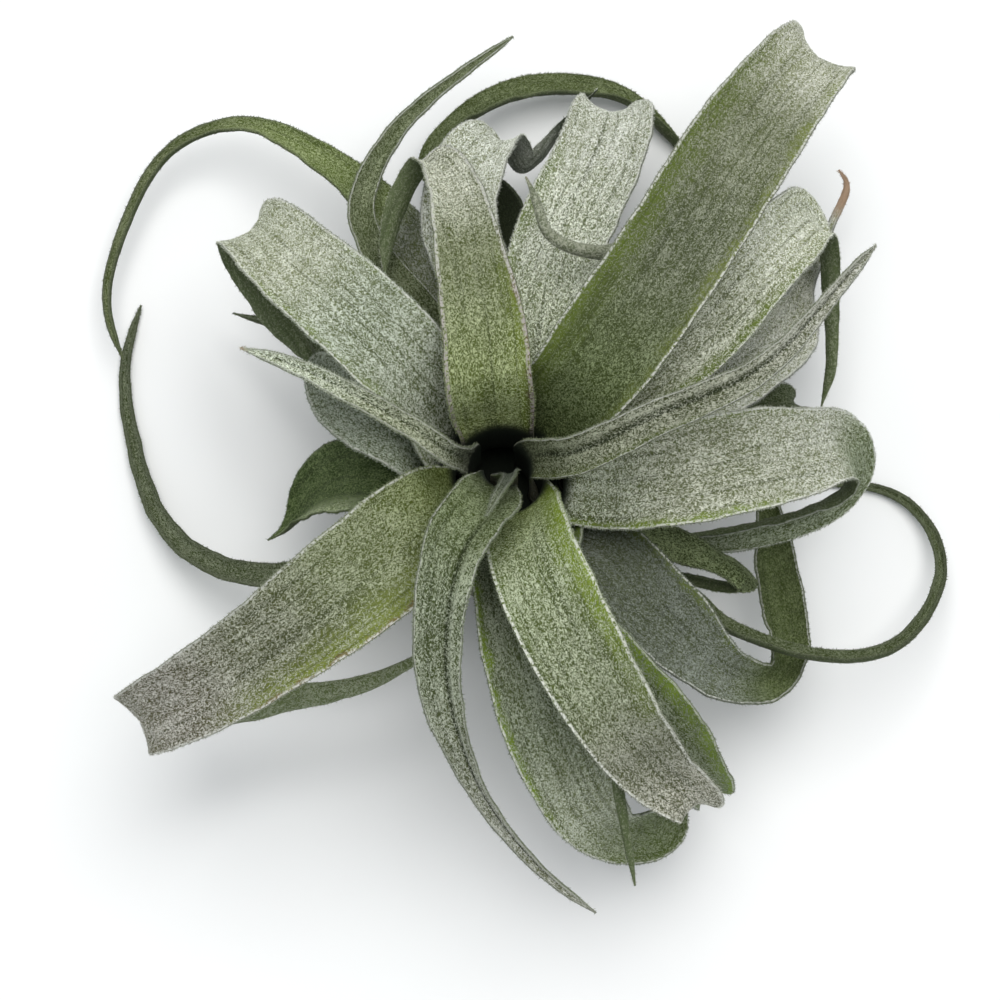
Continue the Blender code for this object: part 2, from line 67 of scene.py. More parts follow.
# The plant's build in millimetres and degrees, as the solids have it: sheath layers round a stem, then blades
# on their routes
bulb = {
    "layerStep": 1.58, "neckRadius": 1.6, "bulgeExtra": 5.2, "bulgeHeight": 14.0, "neckHeight": 38.0,
    "lowestRoot": 30.0, "rootStep": 2.0, "highestExit": 62.0, "exitStep": 1.9, "sheathCurl": 14.0,
    "innerStem": 4.2, "outerStem": 5.0, "innerLayers": 4, "blendStart": -2.0, "blendEnd": 12.0,
    "bellyRise": 5.0, "shoulder": 0.62, "shoulderRise": 1.0, "sheathShares": (0.35, 0.7, 1.0),
    "closestAxis": 0.5, "widestWrap": 2.9,
}
blade = {
    "thick": 0.95, "marginThick": 0.62, "sheathThick": 0.65, "thinHalfWidth": 2.0,
    "sheathRings": 18, "bladeRings": 100, "bendWeight": 14.0, "wideColumns": 15, "narrowColumns": 9,
    "narrowHalfWidth": 3.6, "curveSamples": 801,
    "ripple": 0.24, "rippleLength": 7.0, "rippleTones": (1.9, 1.0, 0.53), "groove": 0.28, "grooveWidth": 0.16,
    "dents": 0.05, "dentWaves": 5, "dentPitch": (0.4, 1.2), "dentLean": (-2.4, 2.4), "dentShift": 6.3,
    "wideFrom": 6.0, "tipTaper": 6.0, "tipWidth": 0.3, "tipThick": 0.35,
    "sharpAngle": 55.0, "patternSpan": 400.0, "underPattern": 37.0,
}

# Leaf dictionaries: node, slot, sheath layer, compass angle, wrap, folds as (across, width, depth), then the
# blade's route in millimetres as x, y, z, half width, half angle of the channel and, where it twists, roll
leaves = {
    "budLeaf": {
        "node": "leaf_01_bud", "slot": "young_leaf", "layer": 1, "compass": 280, "wrap": 62,
        "route": [
            (1.5, -5, 69, 1.8, 75), (-0.5, -11, 78, 1.5, 80), (-3.5, -17, 83, 0.6, 60)]},
    "frontLongLeaf": {
        "node": "leaf_02_front_long", "slot": "grey_leaf", "layer": 2, "compass": 247, "wrap": 60,
        "folds": [(0.32, 0.16, 1.3), (-0.4, 0.25, 0.5)],
        "route": [
            (-3.5, -10.5, 70, 7.2, 30), (-9, -20, 79, 6.9, 28), (-12.5, -32.5, 82, 5.7, 28),
            (-13.5, -44.5, 79, 5.1, 32), (-12.5, -54, 74, 4.4, 38), (-10, -61.5, 69, 3.3, 45),
            (-5.5, -70.5, 61, 2.2, 55), (1.5, -79.5, 53, 1.6, 60), (10, -87.5, 46, 1.1, 60),
            (20, -94.5, 41, 0.5, 60)]},
    "rightLongLeaf": {
        "node": "leaf_03_right_long", "slot": "grey_leaf", "layer": 3, "compass": 22, "wrap": 42,
        "folds": [(0.15, 0.26, 0.75), (-0.55, 0.2, 0.3)],
        "route": [
            (15.5, -1.5, 75, 4.4, 32), (28.5, 2.4, 83, 4, 30), (41, 7.2, 86, 3.6, 30),
            (51.5, 12.6, 85, 3, 35), (60.5, 21, 81, 2.5, 40), (67.5, 30, 76, 2, 45), (75, 40, 70, 1.5, 50),
            (82, 49, 64, 0.6, 50)]},
    "leftLongLeaf": {
        "node": "leaf_04_left_long", "slot": "grey_leaf", "layer": 4, "compass": 156, "wrap": 26,
        "folds": [(-0.1, 0.3, 0.6)],
        "route": [
            (-11, -0.5, 71, 2.9, 60), (-19.5, 4, 76, 2.7, 58), (-32, 11.5, 75, 2.5, 52),
            (-44, 19, 70, 1.9, 50), (-57, 25, 65, 0.6, 50)]},
    "frontBroadLeaf": {
        "node": "leaf_05_front_broad", "slot": "fresh_leaf", "layer": 5, "compass": 301, "wrap": 52,
        "route": [
            (6, -20, 70, 9.8, 20), (11, -34, 75, 10.3, 20), (18, -47.5, 73, 10, 22), (26.5, -60, 66, 9, 25),
            (34.5, -67.5, 58, 7.8, 34), (41, -71.5, 51, 6.4, 45), (40.5, -71.5, 46, 5, 60),
            (35.5, -67.5, 46.5, 3.6, 75), (30, -63, 51, 2.6, 85), (25.8, -63, 54.5, 2, 90),
            (24.8, -68.5, 54, 1.6, 90), (26.5, -78.5, 49, 1.2, 100), (28.3, -89, 44, 0.5, 100)]},
    "uprightLeaf": {
        "node": "leaf_06_back_upright", "slot": "fresh_leaf", "layer": 6, "compass": 98, "wrap": 45,
        "route": [
            (-3, 15.5, 69, 9.5, 20), (-4, 26, 73, 9.2, 20), (-6, 38, 71, 8.4, 24), (-8.5, 52, 66, 7.2, 30),
            (-10.5, 62.5, 59, 6.4, 40), (-13, 70.5, 52, 5.9, 52), (-16.5, 75, 46, 5.7, 70),
            (-20.8, 70.5, 42, 5.3, 95), (-24.3, 61.5, 42, 4.4, 110), (-26, 53.5, 44, 2.6, 110),
            (-26.8, 47.5, 46, 0.9, 100)]},
    "frontLeftLeaf": {
        "node": "leaf_07_front_left_broad", "slot": "fresh_leaf", "layer": 6, "compass": 214, "wrap": 45,
        "route": [
            (-15.5, -13, 67, 10.5, 18), (-23.5, -22, 72, 12.3, 20), (-34.5, -31.3, 73, 12, 20),
            (-48.7, -40.8, 67, 10.7, 24), (-63, -48.2, 58, 9.7, 25), (-74, -52.5, 50.5, 8.6, 26),
            (-79.2, -53.2, 43, 7.6, 28), (-76.5, -50.5, 35, 6.8, 40), (-70, -47.8, 29, 5.8, 65),
            (-58.5, -46.2, 26, 5, 80), (-46, -44, 25, 4, 85), (-34.5, -42.2, 25, 3, 90),
            (-22, -37.4, 25, 1.5, 90), (-14, -32.5, 26, 0.6, 80)]},
    "backRightLeaf": {
        "node": "leaf_08_back_right_broad", "slot": "fresh_leaf", "layer": 7, "compass": 53, "wrap": 45,
        "route": [
            (16, 16, 67, 11, 20), (24, 25.5, 72, 12, 20), (36.5, 43.5, 74, 12, 22),
            (49.5, 65.5, 70, 12.2, 24), (62, 86, 60, 11.3, 30), (71.5, 100, 49, 10, 40),
            (73, 102, 39, 8.4, 55), (64, 93, 34, 6.8, 78), (45.5, 74, 39, 5, 100), (29, 54, 52, 3.2, 115),
            (18.5, 50.5, 58, 2.4, 110), (10.5, 54, 58.5, 1.7, 100), (8.2, 60.5, 57, 1.3, 95),
            (5.2, 68.5, 55, 0.6, 90)]},
    "leftBroadLeaf": {
        "node": "leaf_09_left_broad", "slot": "silver_leaf", "layer": 8, "compass": 137, "wrap": 45,
        "route": [
            (-17, 17.5, 62, 10, 18), (-24.5, 24.5, 67, 11, 20), (-35, 34.5, 67, 11, 22),
            (-45.5, 45.5, 60, 10.5, 28), (-53.5, 55.5, 51, 9.6, 34), (-58, 59.5, 42, 8.3, 46),
            (-56.5, 53, 35, 6.5, 80), (-49.5, 41, 34, 5, 100), (-45, 34, 35, 3, 110), (-43, 29, 35, 1, 100)]},
    "rightBroadLeaf": {
        "node": "leaf_10_right_broad", "slot": "silver_leaf", "layer": 8, "compass": 4, "wrap": 45,
        "folds": [(0.3, 0.09, 0.22), (-0.15, 0.08, 0.2), (0.62, 0.1, 0.15)],
        "route": [
            (21, -2, 54, 10.5, 18), (30, -3.5, 62, 11, 20), (42, -3, 67, 11.2, 20), (55.5, 0.5, 64, 11, 22),
            (67, 4, 57, 9.4, 28), (74, 7, 50, 8.2, 32), (78.5, 5.5, 42.5, 7.4, 40, 8),
            (77.5, 1, 36, 7, 50, 28), (68, -4, 32.5, 6.4, 60, 45), (54, -7.5, 31, 5.4, 75, 55),
            (42, -9.5, 31, 4, 85, 60), (33.5, -10.5, 31, 1.2, 90, 60)]},
    "frontLowLeaf": {
        "node": "leaf_11_front_low", "slot": "dusky_leaf", "layer": 9, "compass": 283, "wrap": 45,
        "route": [
            (4, -27, 57, 10.3, 20), (6.5, -40.5, 60, 11.2, 20), (10, -53.5, 57, 11.2, 21),
            (14.5, -65, 50, 10, 26), (18.5, -72, 42, 8.8, 36), (24, -75.5, 33, 7.6, 44, -12),
            (31.5, -75.5, 27, 7, 46, -38), (36.5, -71.5, 22, 6, 54, -60), (35.5, -64, 19, 4.2, 75, -65),
            (33, -56, 18, 1.5, 90, -65)]},
    "rightBackLeaf": {
        "node": "leaf_12_right_back", "slot": "silver_leaf", "layer": 9, "compass": 42, "wrap": 45,
        "route": [
            (22.5, 15, 55, 9.2, 18), (31, 21.5, 58, 9.5, 20), (43.5, 32, 57, 9.5, 22),
            (55.5, 47, 52, 9.2, 26), (65.5, 59, 45, 8.6, 34), (71, 65, 37, 7.4, 46),
            (74.5, 61.5, 30, 5.8, 75), (75.7, 52, 25, 4.4, 100), (76.5, 43, 22, 3.2, 110),
            (76.3, 33.5, 21, 2.4, 110), (74.5, 24.5, 21, 1, 100)]},
    "backLowLeaf": {
        "node": "leaf_13_back_low", "slot": "silver_leaf", "layer": 10, "compass": 73, "wrap": 40,
        "route": [
            (8.5, 35, 47, 9.5, 18), (11.5, 50.5, 46, 10.8, 20), (16.5, 65, 43, 11.2, 22),
            (22, 78, 38.5, 10.9, 26), (26, 93, 30.5, 10.2, 36), (25.2, 96.5, 21.5, 7.4, 68),
            (21, 87, 16, 4.4, 105), (18, 74.5, 15, 1.5, 105)]},
    "leftLowLeaf": {
        "node": "leaf_14_left_low", "slot": "silver_leaf", "layer": 10, "compass": 160, "wrap": 40,
        "route": [
            (-20.5, 9, 51, 10, 18), (-28.5, 14, 50.5, 10.6, 20), (-34, 20, 46, 9.6, 28),
            (-37, 26.5, 41, 8.2, 45), (-36.8, 30, 37, 6.2, 75), (-33.8, 27.8, 36.5, 3.8, 95),
            (-30.5, 24, 38, 1, 100)]},
    "frontUnderLeaf": {
        "node": "leaf_15_front_under", "slot": "fresh_leaf", "layer": 10, "compass": 305, "wrap": 40,
        "route": [
            (10.5, -23.5, 51, 8, 18), (15.5, -34, 55, 7.8, 20), (24, -44.5, 54, 8.4, 22),
            (34.5, -54.5, 48, 8.2, 28), (42.5, -63.5, 38, 6.8, 40), (46, -66.5, 29, 5.4, 60),
            (43.5, -63.5, 22, 4, 85), (38.5, -57, 18.5, 3, 100), (33, -49.5, 17, 1, 100)]},
    "backInnerLeaf": {
        "node": "leaf_16_back_inner", "slot": "silver_leaf", "layer": 11, "compass": 91, "wrap": 40,
        "route": [
            (-0.5, 33, 42, 8, 18), (-4.5, 45, 43.5, 8.5, 20), (-9.5, 59, 41.5, 9, 22), (-9.5, 71, 38, 9, 26),
            (-6.5, 81, 34, 8.8, 34), (-2.5, 88, 28, 7.6, 50), (1, 88.5, 21, 6.4, 65), (4.5, 85, 17, 5.4, 80),
            (9.5, 88.5, 17, 4.2, 90), (14, 94.5, 18, 2.6, 95), (18, 99.5, 18, 1.3, 90),
            (23, 105.5, 18, 0.6, 80)]},
    "leftCurlLeaf": {
        "node": "leaf_17_left_curl", "slot": "dusky_leaf", "layer": 11, "compass": 192, "wrap": 40,
        "route": [
            (-24, 0, 43.5, 8.5, 20, -35), (-32.5, 3, 38.5, 9, 22, -58), (-39.5, 3.5, 31.5, 8.8, 30, -60),
            (-45, 0, 25.5, 6.8, 45, -55), (-49.5, -4.5, 21, 2.4, 70, -50), (-54.5, -7.2, 19, 0.6, 70, -50)]},
    "frontRightLeaf": {
        "node": "leaf_18_front_right", "slot": "dusky_leaf", "layer": 11, "compass": 320, "wrap": 40,
        "route": [
            (23, -17.5, 47, 9, 18), (30, -26, 48, 9.8, 20), (37.5, -32.5, 44, 9.4, 24),
            (44.5, -38.5, 38, 7.6, 34), (52.5, -42, 31, 6, 50, -8), (61, -40.8, 24, 5.2, 75, -30),
            (65, -32, 19.5, 5.6, 60, -58), (64, -20, 17, 5.8, 50, -65), (62.8, -7, 15, 5, 60, -65),
            (62, 3, 14, 3, 75, -65), (61.5, 10, 13.5, 1, 80, -65)]},
    "dryTipLeaf": {
        "node": "leaf_19_right_dry_tip", "slot": "silver_leaf", "layer": 12, "compass": 22, "wrap": 38,
        "route": [
            (30.5, 14, 46, 8.5, 18), (42, 19.5, 47, 9.5, 20), (54, 28.5, 42, 10, 25),
            (62.5, 36.5, 34.5, 9.5, 36), (67, 43, 27, 7, 60), (70.5, 53, 21, 3.6, 90), (75.5, 63, 18, 2, 90),
            (79.5, 72.5, 18, 1, 80), (82.5, 80, 20, 0.8, 60), (80.5, 83.5, 21, 0.6, 60)]},
    "sickleLeaf": {
        "node": "leaf_20_back_sickle", "slot": "dusky_leaf", "layer": 12, "compass": 124, "wrap": 38,
        "route": [
            (-17, 36.5, 38, 7, 22), (-26, 51, 37, 4.8, 27), (-33, 65.5, 35, 3.5, 36),
            (-31, 79, 31.5, 2.9, 48), (-23.2, 94, 26, 2.3, 62), (-11, 107, 22, 1.6, 75),
            (2.6, 119, 19, 0.6, 70)]},
    "leftTendril": {
        "node": "leaf_21_left_tendril", "slot": "dark_leaf", "layer": 12, "compass": 206, "wrap": 38,
        "route": [
            (-26.5, -10, 35, 5.5, 25), (-38, -14.5, 28, 4.4, 38), (-52, -16.5, 19.5, 3.9, 58),
            (-69, -11, 10, 3.4, 75), (-82, 2, 3.8, 2.8, 82), (-89.3, 22, 1, 2.2, 85),
            (-91.8, 40, 0.8, 1.5, 85), (-88.5, 56, 1.2, 0.6, 80)]},
    "rightHookLeaf": {
        "node": "leaf_22_right_hook", "slot": "dark_leaf", "layer": 13, "compass": 336, "wrap": 36,
        "route": [
            (29, -10.5, 40, 5, 25), (40.5, -13.5, 38.5, 3.8, 40, 35), (50, -16.5, 35.5, 3, 60, 60),
            (54.8, -19.8, 30.5, 2.8, 75, 60), (50, -19, 26.5, 2.8, 85, 55), (43.5, -17, 24.5, 2.4, 90, 50),
            (36.5, -15.5, 23.5, 0.8, 100, 50)]},
    "backLeftTendril": {
        "node": "leaf_23_back_left_tendril", "slot": "dark_leaf", "layer": 13, "compass": 108, "wrap": 36,
        "route": [
            (-14.5, 45.5, 29, 8, 22), (-22, 61.5, 29, 6.8, 27), (-33.5, 77, 25, 4.9, 35),
            (-49, 90, 20, 3.6, 50), (-64, 97.5, 14, 2.6, 75), (-81, 92.5, 10, 2.2, 85),
            (-91.5, 74.5, 8, 1.9, 85), (-95.5, 55, 8, 1.4, 80), (-91, 39.5, 9, 0.6, 70)]},
    "loopTendril": {
        "node": "leaf_24_loop_tendril", "slot": "dark_leaf", "layer": 14, "compass": 318, "wrap": 34,
        "route": [
            (27.5, -17.5, 33, 6, 24), (41.5, -24.5, 34, 4.6, 40), (48.5, -30, 33.5, 3.4, 55),
            (58, -34, 32, 2.9, 62), (68, -36.5, 30, 2.7, 66), (86.5, -34.5, 22, 2.3, 80),
            (99.5, -22, 13, 1.9, 90), (103.5, -7.5, 5.5, 1.7, 90), (97, 5.8, 1.5, 1.5, 90),
            (85.5, 10.5, 0.7, 1.1, 90), (76.5, 10.5, 0.7, 0.6, 80)]},
    "rightCurlLeaf": {
        "node": "leaf_25_right_curl", "slot": "dusky_leaf", "layer": 14, "compass": 12, "wrap": 18,
        "route": [
            (42, 12.5, 38, 6, 20), (54, 17.5, 35, 5.5, 30), (63.5, 23.5, 28, 5, 50), (68, 24.5, 22, 4, 70),
            (66, 22.5, 18, 3, 90), (60, 20, 15, 1, 90)]},
    "arcTendril": {
        "node": "leaf_26_arc_tendril", "slot": "dark_leaf", "layer": 14, "compass": 80, "wrap": 34,
        "route": [
            (-0.5, 50, 25, 7.5, 24), (1.5, 69, 20.5, 7.5, 28), (-7, 80, 17.5, 6.2, 36),
            (-15.8, 88.2, 14.5, 5.3, 46), (-13, 96, 12, 5.1, 52, 8), (-4.5, 103.8, 10, 5, 54, 25),
            (6, 109, 8, 4.9, 56, 36), (20.5, 110.4, 5.7, 4.6, 60, 38), (32, 107.4, 4, 4, 70, 26),
            (40.5, 100, 2.8, 3.2, 80, 10), (44.5, 94.5, 1.9, 2.2, 85), (42.5, 87.5, 1.6, 0.8, 85)]},
    "leftSpike": {
        "node": "leaf_27_left_spike", "slot": "dark_leaf", "layer": 14, "compass": 146, "wrap": 18,
        "route": [
            (-28.5, 25, 28, 4.6, 28), (-40.5, 35.5, 22.5, 3.4, 45), (-51.5, 44, 17, 2.1, 65),
            (-58.5, 48, 13, 1.5, 80), (-65, 51, 10, 0.6, 80)]},
}


def smooth(x):
    x = np.clip(x, 0.0, 1.0)
    return x * x * (3.0 - 2.0 * x)


def unit(vectors):
    return vectors / np.maximum(np.linalg.norm(vectors, axis=-1, keepdims=True), 1e-9)


def layerRadius(layer, height):
    swell = smooth((bulb["neckHeight"] - height) / (bulb["neckHeight"] - bulb["bulgeHeight"]))
    return bulb["neckRadius"] + bulb["layerStep"] * layer + bulb["bulgeExtra"] * float(swell)


def sheathRoute(layer, compass, wrap):
    root = bulb["lowestRoot"] - bulb["rootStep"] * layer
    leave = bulb["highestExit"] - bulb["exitStep"] * layer
    stem = bulb["outerStem"] if layer > bulb["innerLayers"] else bulb["innerStem"]
    belly = root + bulb["bellyRise"]
    bellyRadius = layerRadius(layer, belly)
    shoulder = stem + bulb["shoulder"] * (bellyRadius - stem)
    profile = [(stem, root), (shoulder, root + bulb["shoulderRise"]), (bellyRadius, belly)]
    for share in bulb["sheathShares"]:
        height = belly + (leave - belly) * share
        profile.append((layerRadius(layer, height), height))
    across, along = math.cos(compass), math.sin(compass)
    return [(r * across, r * along, z, wrap * r, bulb["sheathCurl"], 0.0) for r, z in profile]


def knotSpacing(points):
    return np.concatenate([[0.0], np.cumsum(np.linalg.norm(np.diff(points, axis=0), axis=1) ** 0.5)])


def curveThrough(points, samples):  # natural cubic on a centripetal parameter
    t = knotSpacing(points)
    h = np.diff(t)
    n = len(points)
    bend = np.zeros((n, n))
    pull = np.zeros_like(points)
    bend[0, 0] = bend[-1, -1] = 1.0
    for i in range(1, n - 1):
        bend[i, i - 1:i + 2] = (h[i - 1], 2.0 * (h[i - 1] + h[i]), h[i])
        pull[i] = 6.0 * ((points[i + 1] - points[i]) / h[i] - (points[i] - points[i - 1]) / h[i - 1])
    m = np.linalg.solve(bend, pull)
    x = np.linspace(0.0, t[-1], samples)
    k = np.clip(np.searchsorted(t, x, side="right") - 1, 0, n - 2)
    after = (x - t[k])[:, None]
    before = (t[k + 1] - x)[:, None]
    step = h[k][:, None]
    curve = (m[k] * before ** 3 + m[k + 1] * after ** 3) / (6.0 * step)
    curve += (points[k] / step - m[k] * step / 6.0) * before
    curve += (points[k + 1] / step - m[k + 1] * step / 6.0) * after
    return curve


def easeThrough(knots, values, at):  # monotone cubic, so that widths never overshoot
    h = np.diff(knots)
    slope = np.diff(values) / h
    m = np.zeros_like(values)
    for i in range(1, len(values) - 1):
        if slope[i - 1] * slope[i] > 0.0:
            left, right = 2.0 * h[i] + h[i - 1], h[i] + 2.0 * h[i - 1]
            m[i] = (left + right) / (left / slope[i - 1] + right / slope[i])
    m[0], m[-1] = slope[0], slope[-1]
    k = np.clip(np.searchsorted(knots, at, side="right") - 1, 0, len(knots) - 2)
    t = (at - knots[k]) / h[k]
    first = (2 * t ** 3 - 3 * t ** 2 + 1) * values[k] + (t ** 3 - 2 * t ** 2 + t) * h[k] * m[k]
    return first + (3 * t ** 2 - 2 * t ** 3) * values[k + 1] + (t ** 3 - t ** 2) * h[k] * m[k + 1]


def carriedSide(curve, tangent, side):  # side direction carried along the curve without spin
    carried = np.zeros_like(curve)
    side = side - tangent[0] * (side @ tangent[0])
    side /= np.linalg.norm(side)
    carried[0] = side
    for i in range(1, len(curve)):
        step = curve[i] - curve[i - 1]
        length = step @ step
        side = side - (2.0 / length) * (step @ side) * step
        bent = tangent[i - 1] - (2.0 / length) * (step @ tangent[i - 1]) * step
        turn = tangent[i] - bent
        size = turn @ turn
        if size > 1e-18:
            side = side - (2.0 / size) * (turn @ side) * turn
        side = side - tangent[i] * (side @ tangent[i])
        side /= np.linalg.norm(side)
        carried[i] = side
    return carried


def bladeRelief(leaf, at, place, wide, rng):
    # A faint central groove, rippled margins, shallow dents and the leaf's own folds
    relief = -blade["groove"] * wide * np.exp(-(place / blade["grooveWidth"]) ** 2)
    for side in (-1.0, 1.0):
        phase = rng.uniform(0.0, 2.0 * math.pi, 3)
        wave = sum(np.sin(2.0 * math.pi * at / (blade["rippleLength"] * tone) + p) / (i + 1.0)
                   for i, (tone, p) in enumerate(zip(blade["rippleTones"], phase)))
        relief = relief + blade["ripple"] * wave * np.clip(side * place, 0.0, 1.0) ** 4 * wide
    dents = 0.0
    for turn in range(blade["dentWaves"]):
        pitch, lean = rng.uniform(*blade["dentPitch"]), rng.uniform(*blade["dentLean"])
        dents = dents + np.sin(pitch * at + lean * place + rng.uniform(0.0, blade["dentShift"]))
    relief = relief + dents * blade["dents"] * wide * (1.0 - 0.5 * place ** 2)
    for across, width, depth in leaf.get("folds", []):
        relief = relief - depth * wide * np.exp(-((place - across) / width) ** 2)
    return relief


def sweepLeaf(leaf, rng):
    # Upper and lower point grids in millimetres, with what the finish needs to know of each point
    compass, wrap = math.radians(leaf["compass"]), math.radians(leaf["wrap"])
    sheath = sheathRoute(leaf["layer"], compass, wrap)
    rows = np.array(sheath + [tuple(p) + (0.0,) * (6 - len(p)) for p in leaf["route"]], float)
    samples = blade["curveSamples"]
    curve = curveThrough(rows[:, :3], samples)
    run = np.concatenate([[0.0], np.cumsum(np.linalg.norm(np.diff(curve, axis=0), axis=1))])
    knots = knotSpacing(rows[:, :3])
    knotRun = np.interp(knots, np.linspace(0.0, knots[-1], samples), run)
    tangent = unit(np.gradient(curve, axis=0))
    side = carriedSide(curve, tangent, np.array([-math.sin(compass), math.cos(compass), 0.0]))

    leave = knotRun[len(sheath) - 1]
    low = np.linspace(0.0, leave, blade["sheathRings"] + 1)[:-1]
    bend = np.linalg.norm(np.diff(tangent, axis=0), axis=1)
    pace = np.concatenate([[0.0], np.cumsum(np.diff(run) + blade["bendWeight"] * bend)])
    high = np.linspace(np.interp(leave, run, pace), pace[-1], blade["bladeRings"] + 1)
    at = np.concatenate([low, np.interp(high, pace, run)])
    centre = np.stack([np.interp(at, run, curve[:, i]) for i in range(3)], 1)
    t = unit(np.stack([np.interp(at, run, tangent[:, i]) for i in range(3)], 1))
    w = np.stack([np.interp(at, run, side[:, i]) for i in range(3)], 1)
    w = unit(w - t * np.sum(w * t, axis=1, keepdims=True))
    n = np.cross(t, w)
    halfWidth = easeThrough(knotRun, rows[:, 3], at)
    tip = 1.0 - np.clip((run[-1] - at) / blade["tipTaper"], 0.0, 1.0)
    halfWidth = halfWidth * (1.0 - (1.0 - blade["tipWidth"]) * tip)
    curl = np.radians(easeThrough(knotRun, rows[:, 4], at))
    roll = np.radians(easeThrough(knotRun, rows[:, 5], at))[:, None]
    w, n = w * np.cos(roll) + n * np.sin(roll), n * np.cos(roll) - w * np.sin(roll)

    narrowLeaf = max(p[3] for p in leaf["route"]) <= blade["narrowHalfWidth"]
    columns = blade["narrowColumns"] if narrowLeaf else blade["wideColumns"]
    place = np.linspace(-1.0, 1.0, columns)
    arcRadius = (halfWidth / curl)[:, None]
    angle = curl[:, None] * place
    arched = centre[:, None] + w[:, None] * (arcRadius * np.sin(angle))[..., None]
    arched = arched + n[:, None] * (arcRadius * (1.0 - np.cos(angle)))[..., None]
    archedUp = n[:, None] * np.cos(angle)[..., None] - w[:, None] * np.sin(angle)[..., None]

    radius = np.maximum(np.hypot(centre[:, 0], centre[:, 1]), bulb["closestAxis"])
    facing = np.arctan2(centre[:, 1], centre[:, 0])
    around = facing[:, None] + np.minimum(halfWidth / radius, bulb["widestWrap"])[:, None] * place
    flat = np.zeros_like(around)
    wall = [radius[:, None] * np.cos(around), radius[:, None] * np.sin(around), flat + centre[:, 2:]]
    outward = t[:, 0] * np.cos(facing) + t[:, 1] * np.sin(facing)
    lean = np.maximum(np.hypot(outward, t[:, 2]), 1e-6)
    inward = (-t[:, 2] / lean)[:, None]
    wallUp = [inward * np.cos(around), inward * np.sin(around), flat + (outward / lean)[:, None]]

    blend = smooth((at - leave - bulb["blendStart"]) / (bulb["blendEnd"] - bulb["blendStart"]))
    share = blend[:, None, None]
    up = unit(np.stack(wallUp, -1) * (1.0 - share) + archedUp * share)
    middle = np.stack(wall, -1) * (1.0 - share) + arched * share
    wide = (np.clip(halfWidth / blade["wideFrom"], 0.0, 1.0) * blend)[:, None]
    middle = middle + up * bladeRelief(leaf, at[:, None], place, wide, rng)[..., None]

    # Blades thin out toward their margins, and over the last millimetres of a tip
    thick = blade["thick"] + (blade["marginThick"] - blade["thick"]) * place ** 2
    narrow = np.clip(halfWidth / blade["thinHalfWidth"], 0.0, 1.0)[:, None]
    thick = blade["marginThick"] + (thick - blade["marginThick"]) * narrow
    thick = thick * (1.0 - (1.0 - blade["tipThick"]) * tip)[:, None]
    thick = blade["sheathThick"] * (1.0 - share) + thick[..., None] * share
    return {
        "top": middle + up * thick / 2.0, "under": middle - up * thick / 2.0, "up": up,
        "along": np.clip((at - leave) / (run[-1] - leave), 0.0, 1.0), "run": at, "place": place,
        "halfWidth": halfWidth, "tangent": t, "blend": blend,
    }


def skinTriangles(rings, columns):
    under = rings * columns
    i, j = np.meshgrid(np.arange(rings - 1), np.arange(columns - 1), indexing="ij")
    a = (i * columns + j).ravel()
    b = a + columns
    sunny = (j < columns // 2).ravel()
    first = np.where(sunny[:, None], np.stack([a, b, b + 1], 1), np.stack([a, b, a + 1], 1))
    second = np.where(sunny[:, None], np.stack([a, b + 1, a + 1], 1), np.stack([b, b + 1, a + 1], 1))
    top = np.concatenate([first, second])
    faces = [top, top[:, [0, 2, 1]] + under]
    lengthwise, crosswise = np.arange(rings - 1) * columns, np.arange(columns - 1)
    rims = [(lengthwise, columns, False), (lengthwise + columns - 1, columns, True),
            (crosswise, 1, True), (crosswise + (rings - 1) * columns, 1, False)]
    for p, step, flip in rims:
        q = p + step
        strip = np.concatenate([np.stack([p, p + under, q + under], 1), np.stack([p, q + under, q], 1)])
        faces.append(strip[:, ::-1] if flip else strip)
    return np.concatenate(faces)


def meshFrom(name, points, triangles, attributes):
    mesh = bpy.data.meshes.new(name)
    mesh.vertices.add(len(points))
    mesh.vertices.foreach_set("co", np.asarray(points * mm, np.float32).ravel())
    mesh.loops.add(len(triangles) * 3)
    mesh.loops.foreach_set("vertex_index", np.asarray(triangles, np.int32).ravel())
    mesh.polygons.add(len(triangles))
    mesh.polygons.foreach_set("loop_start", np.arange(len(triangles), dtype=np.int32) * 3)
    for label, values in attributes.items():
        values = np.asarray(values, np.float32)
        kind, field = ("FLOAT_VECTOR", "vector") if values.ndim == 2 else ("FLOAT", "value")
        mesh.attributes.new(label, kind, "POINT").data.foreach_set(field, values.ravel())
    mesh.update()
    mesh.validate()
    piece = bpy.data.objects.new(name, mesh)
    bpy.context.scene.collection.objects.link(piece)
    return piece


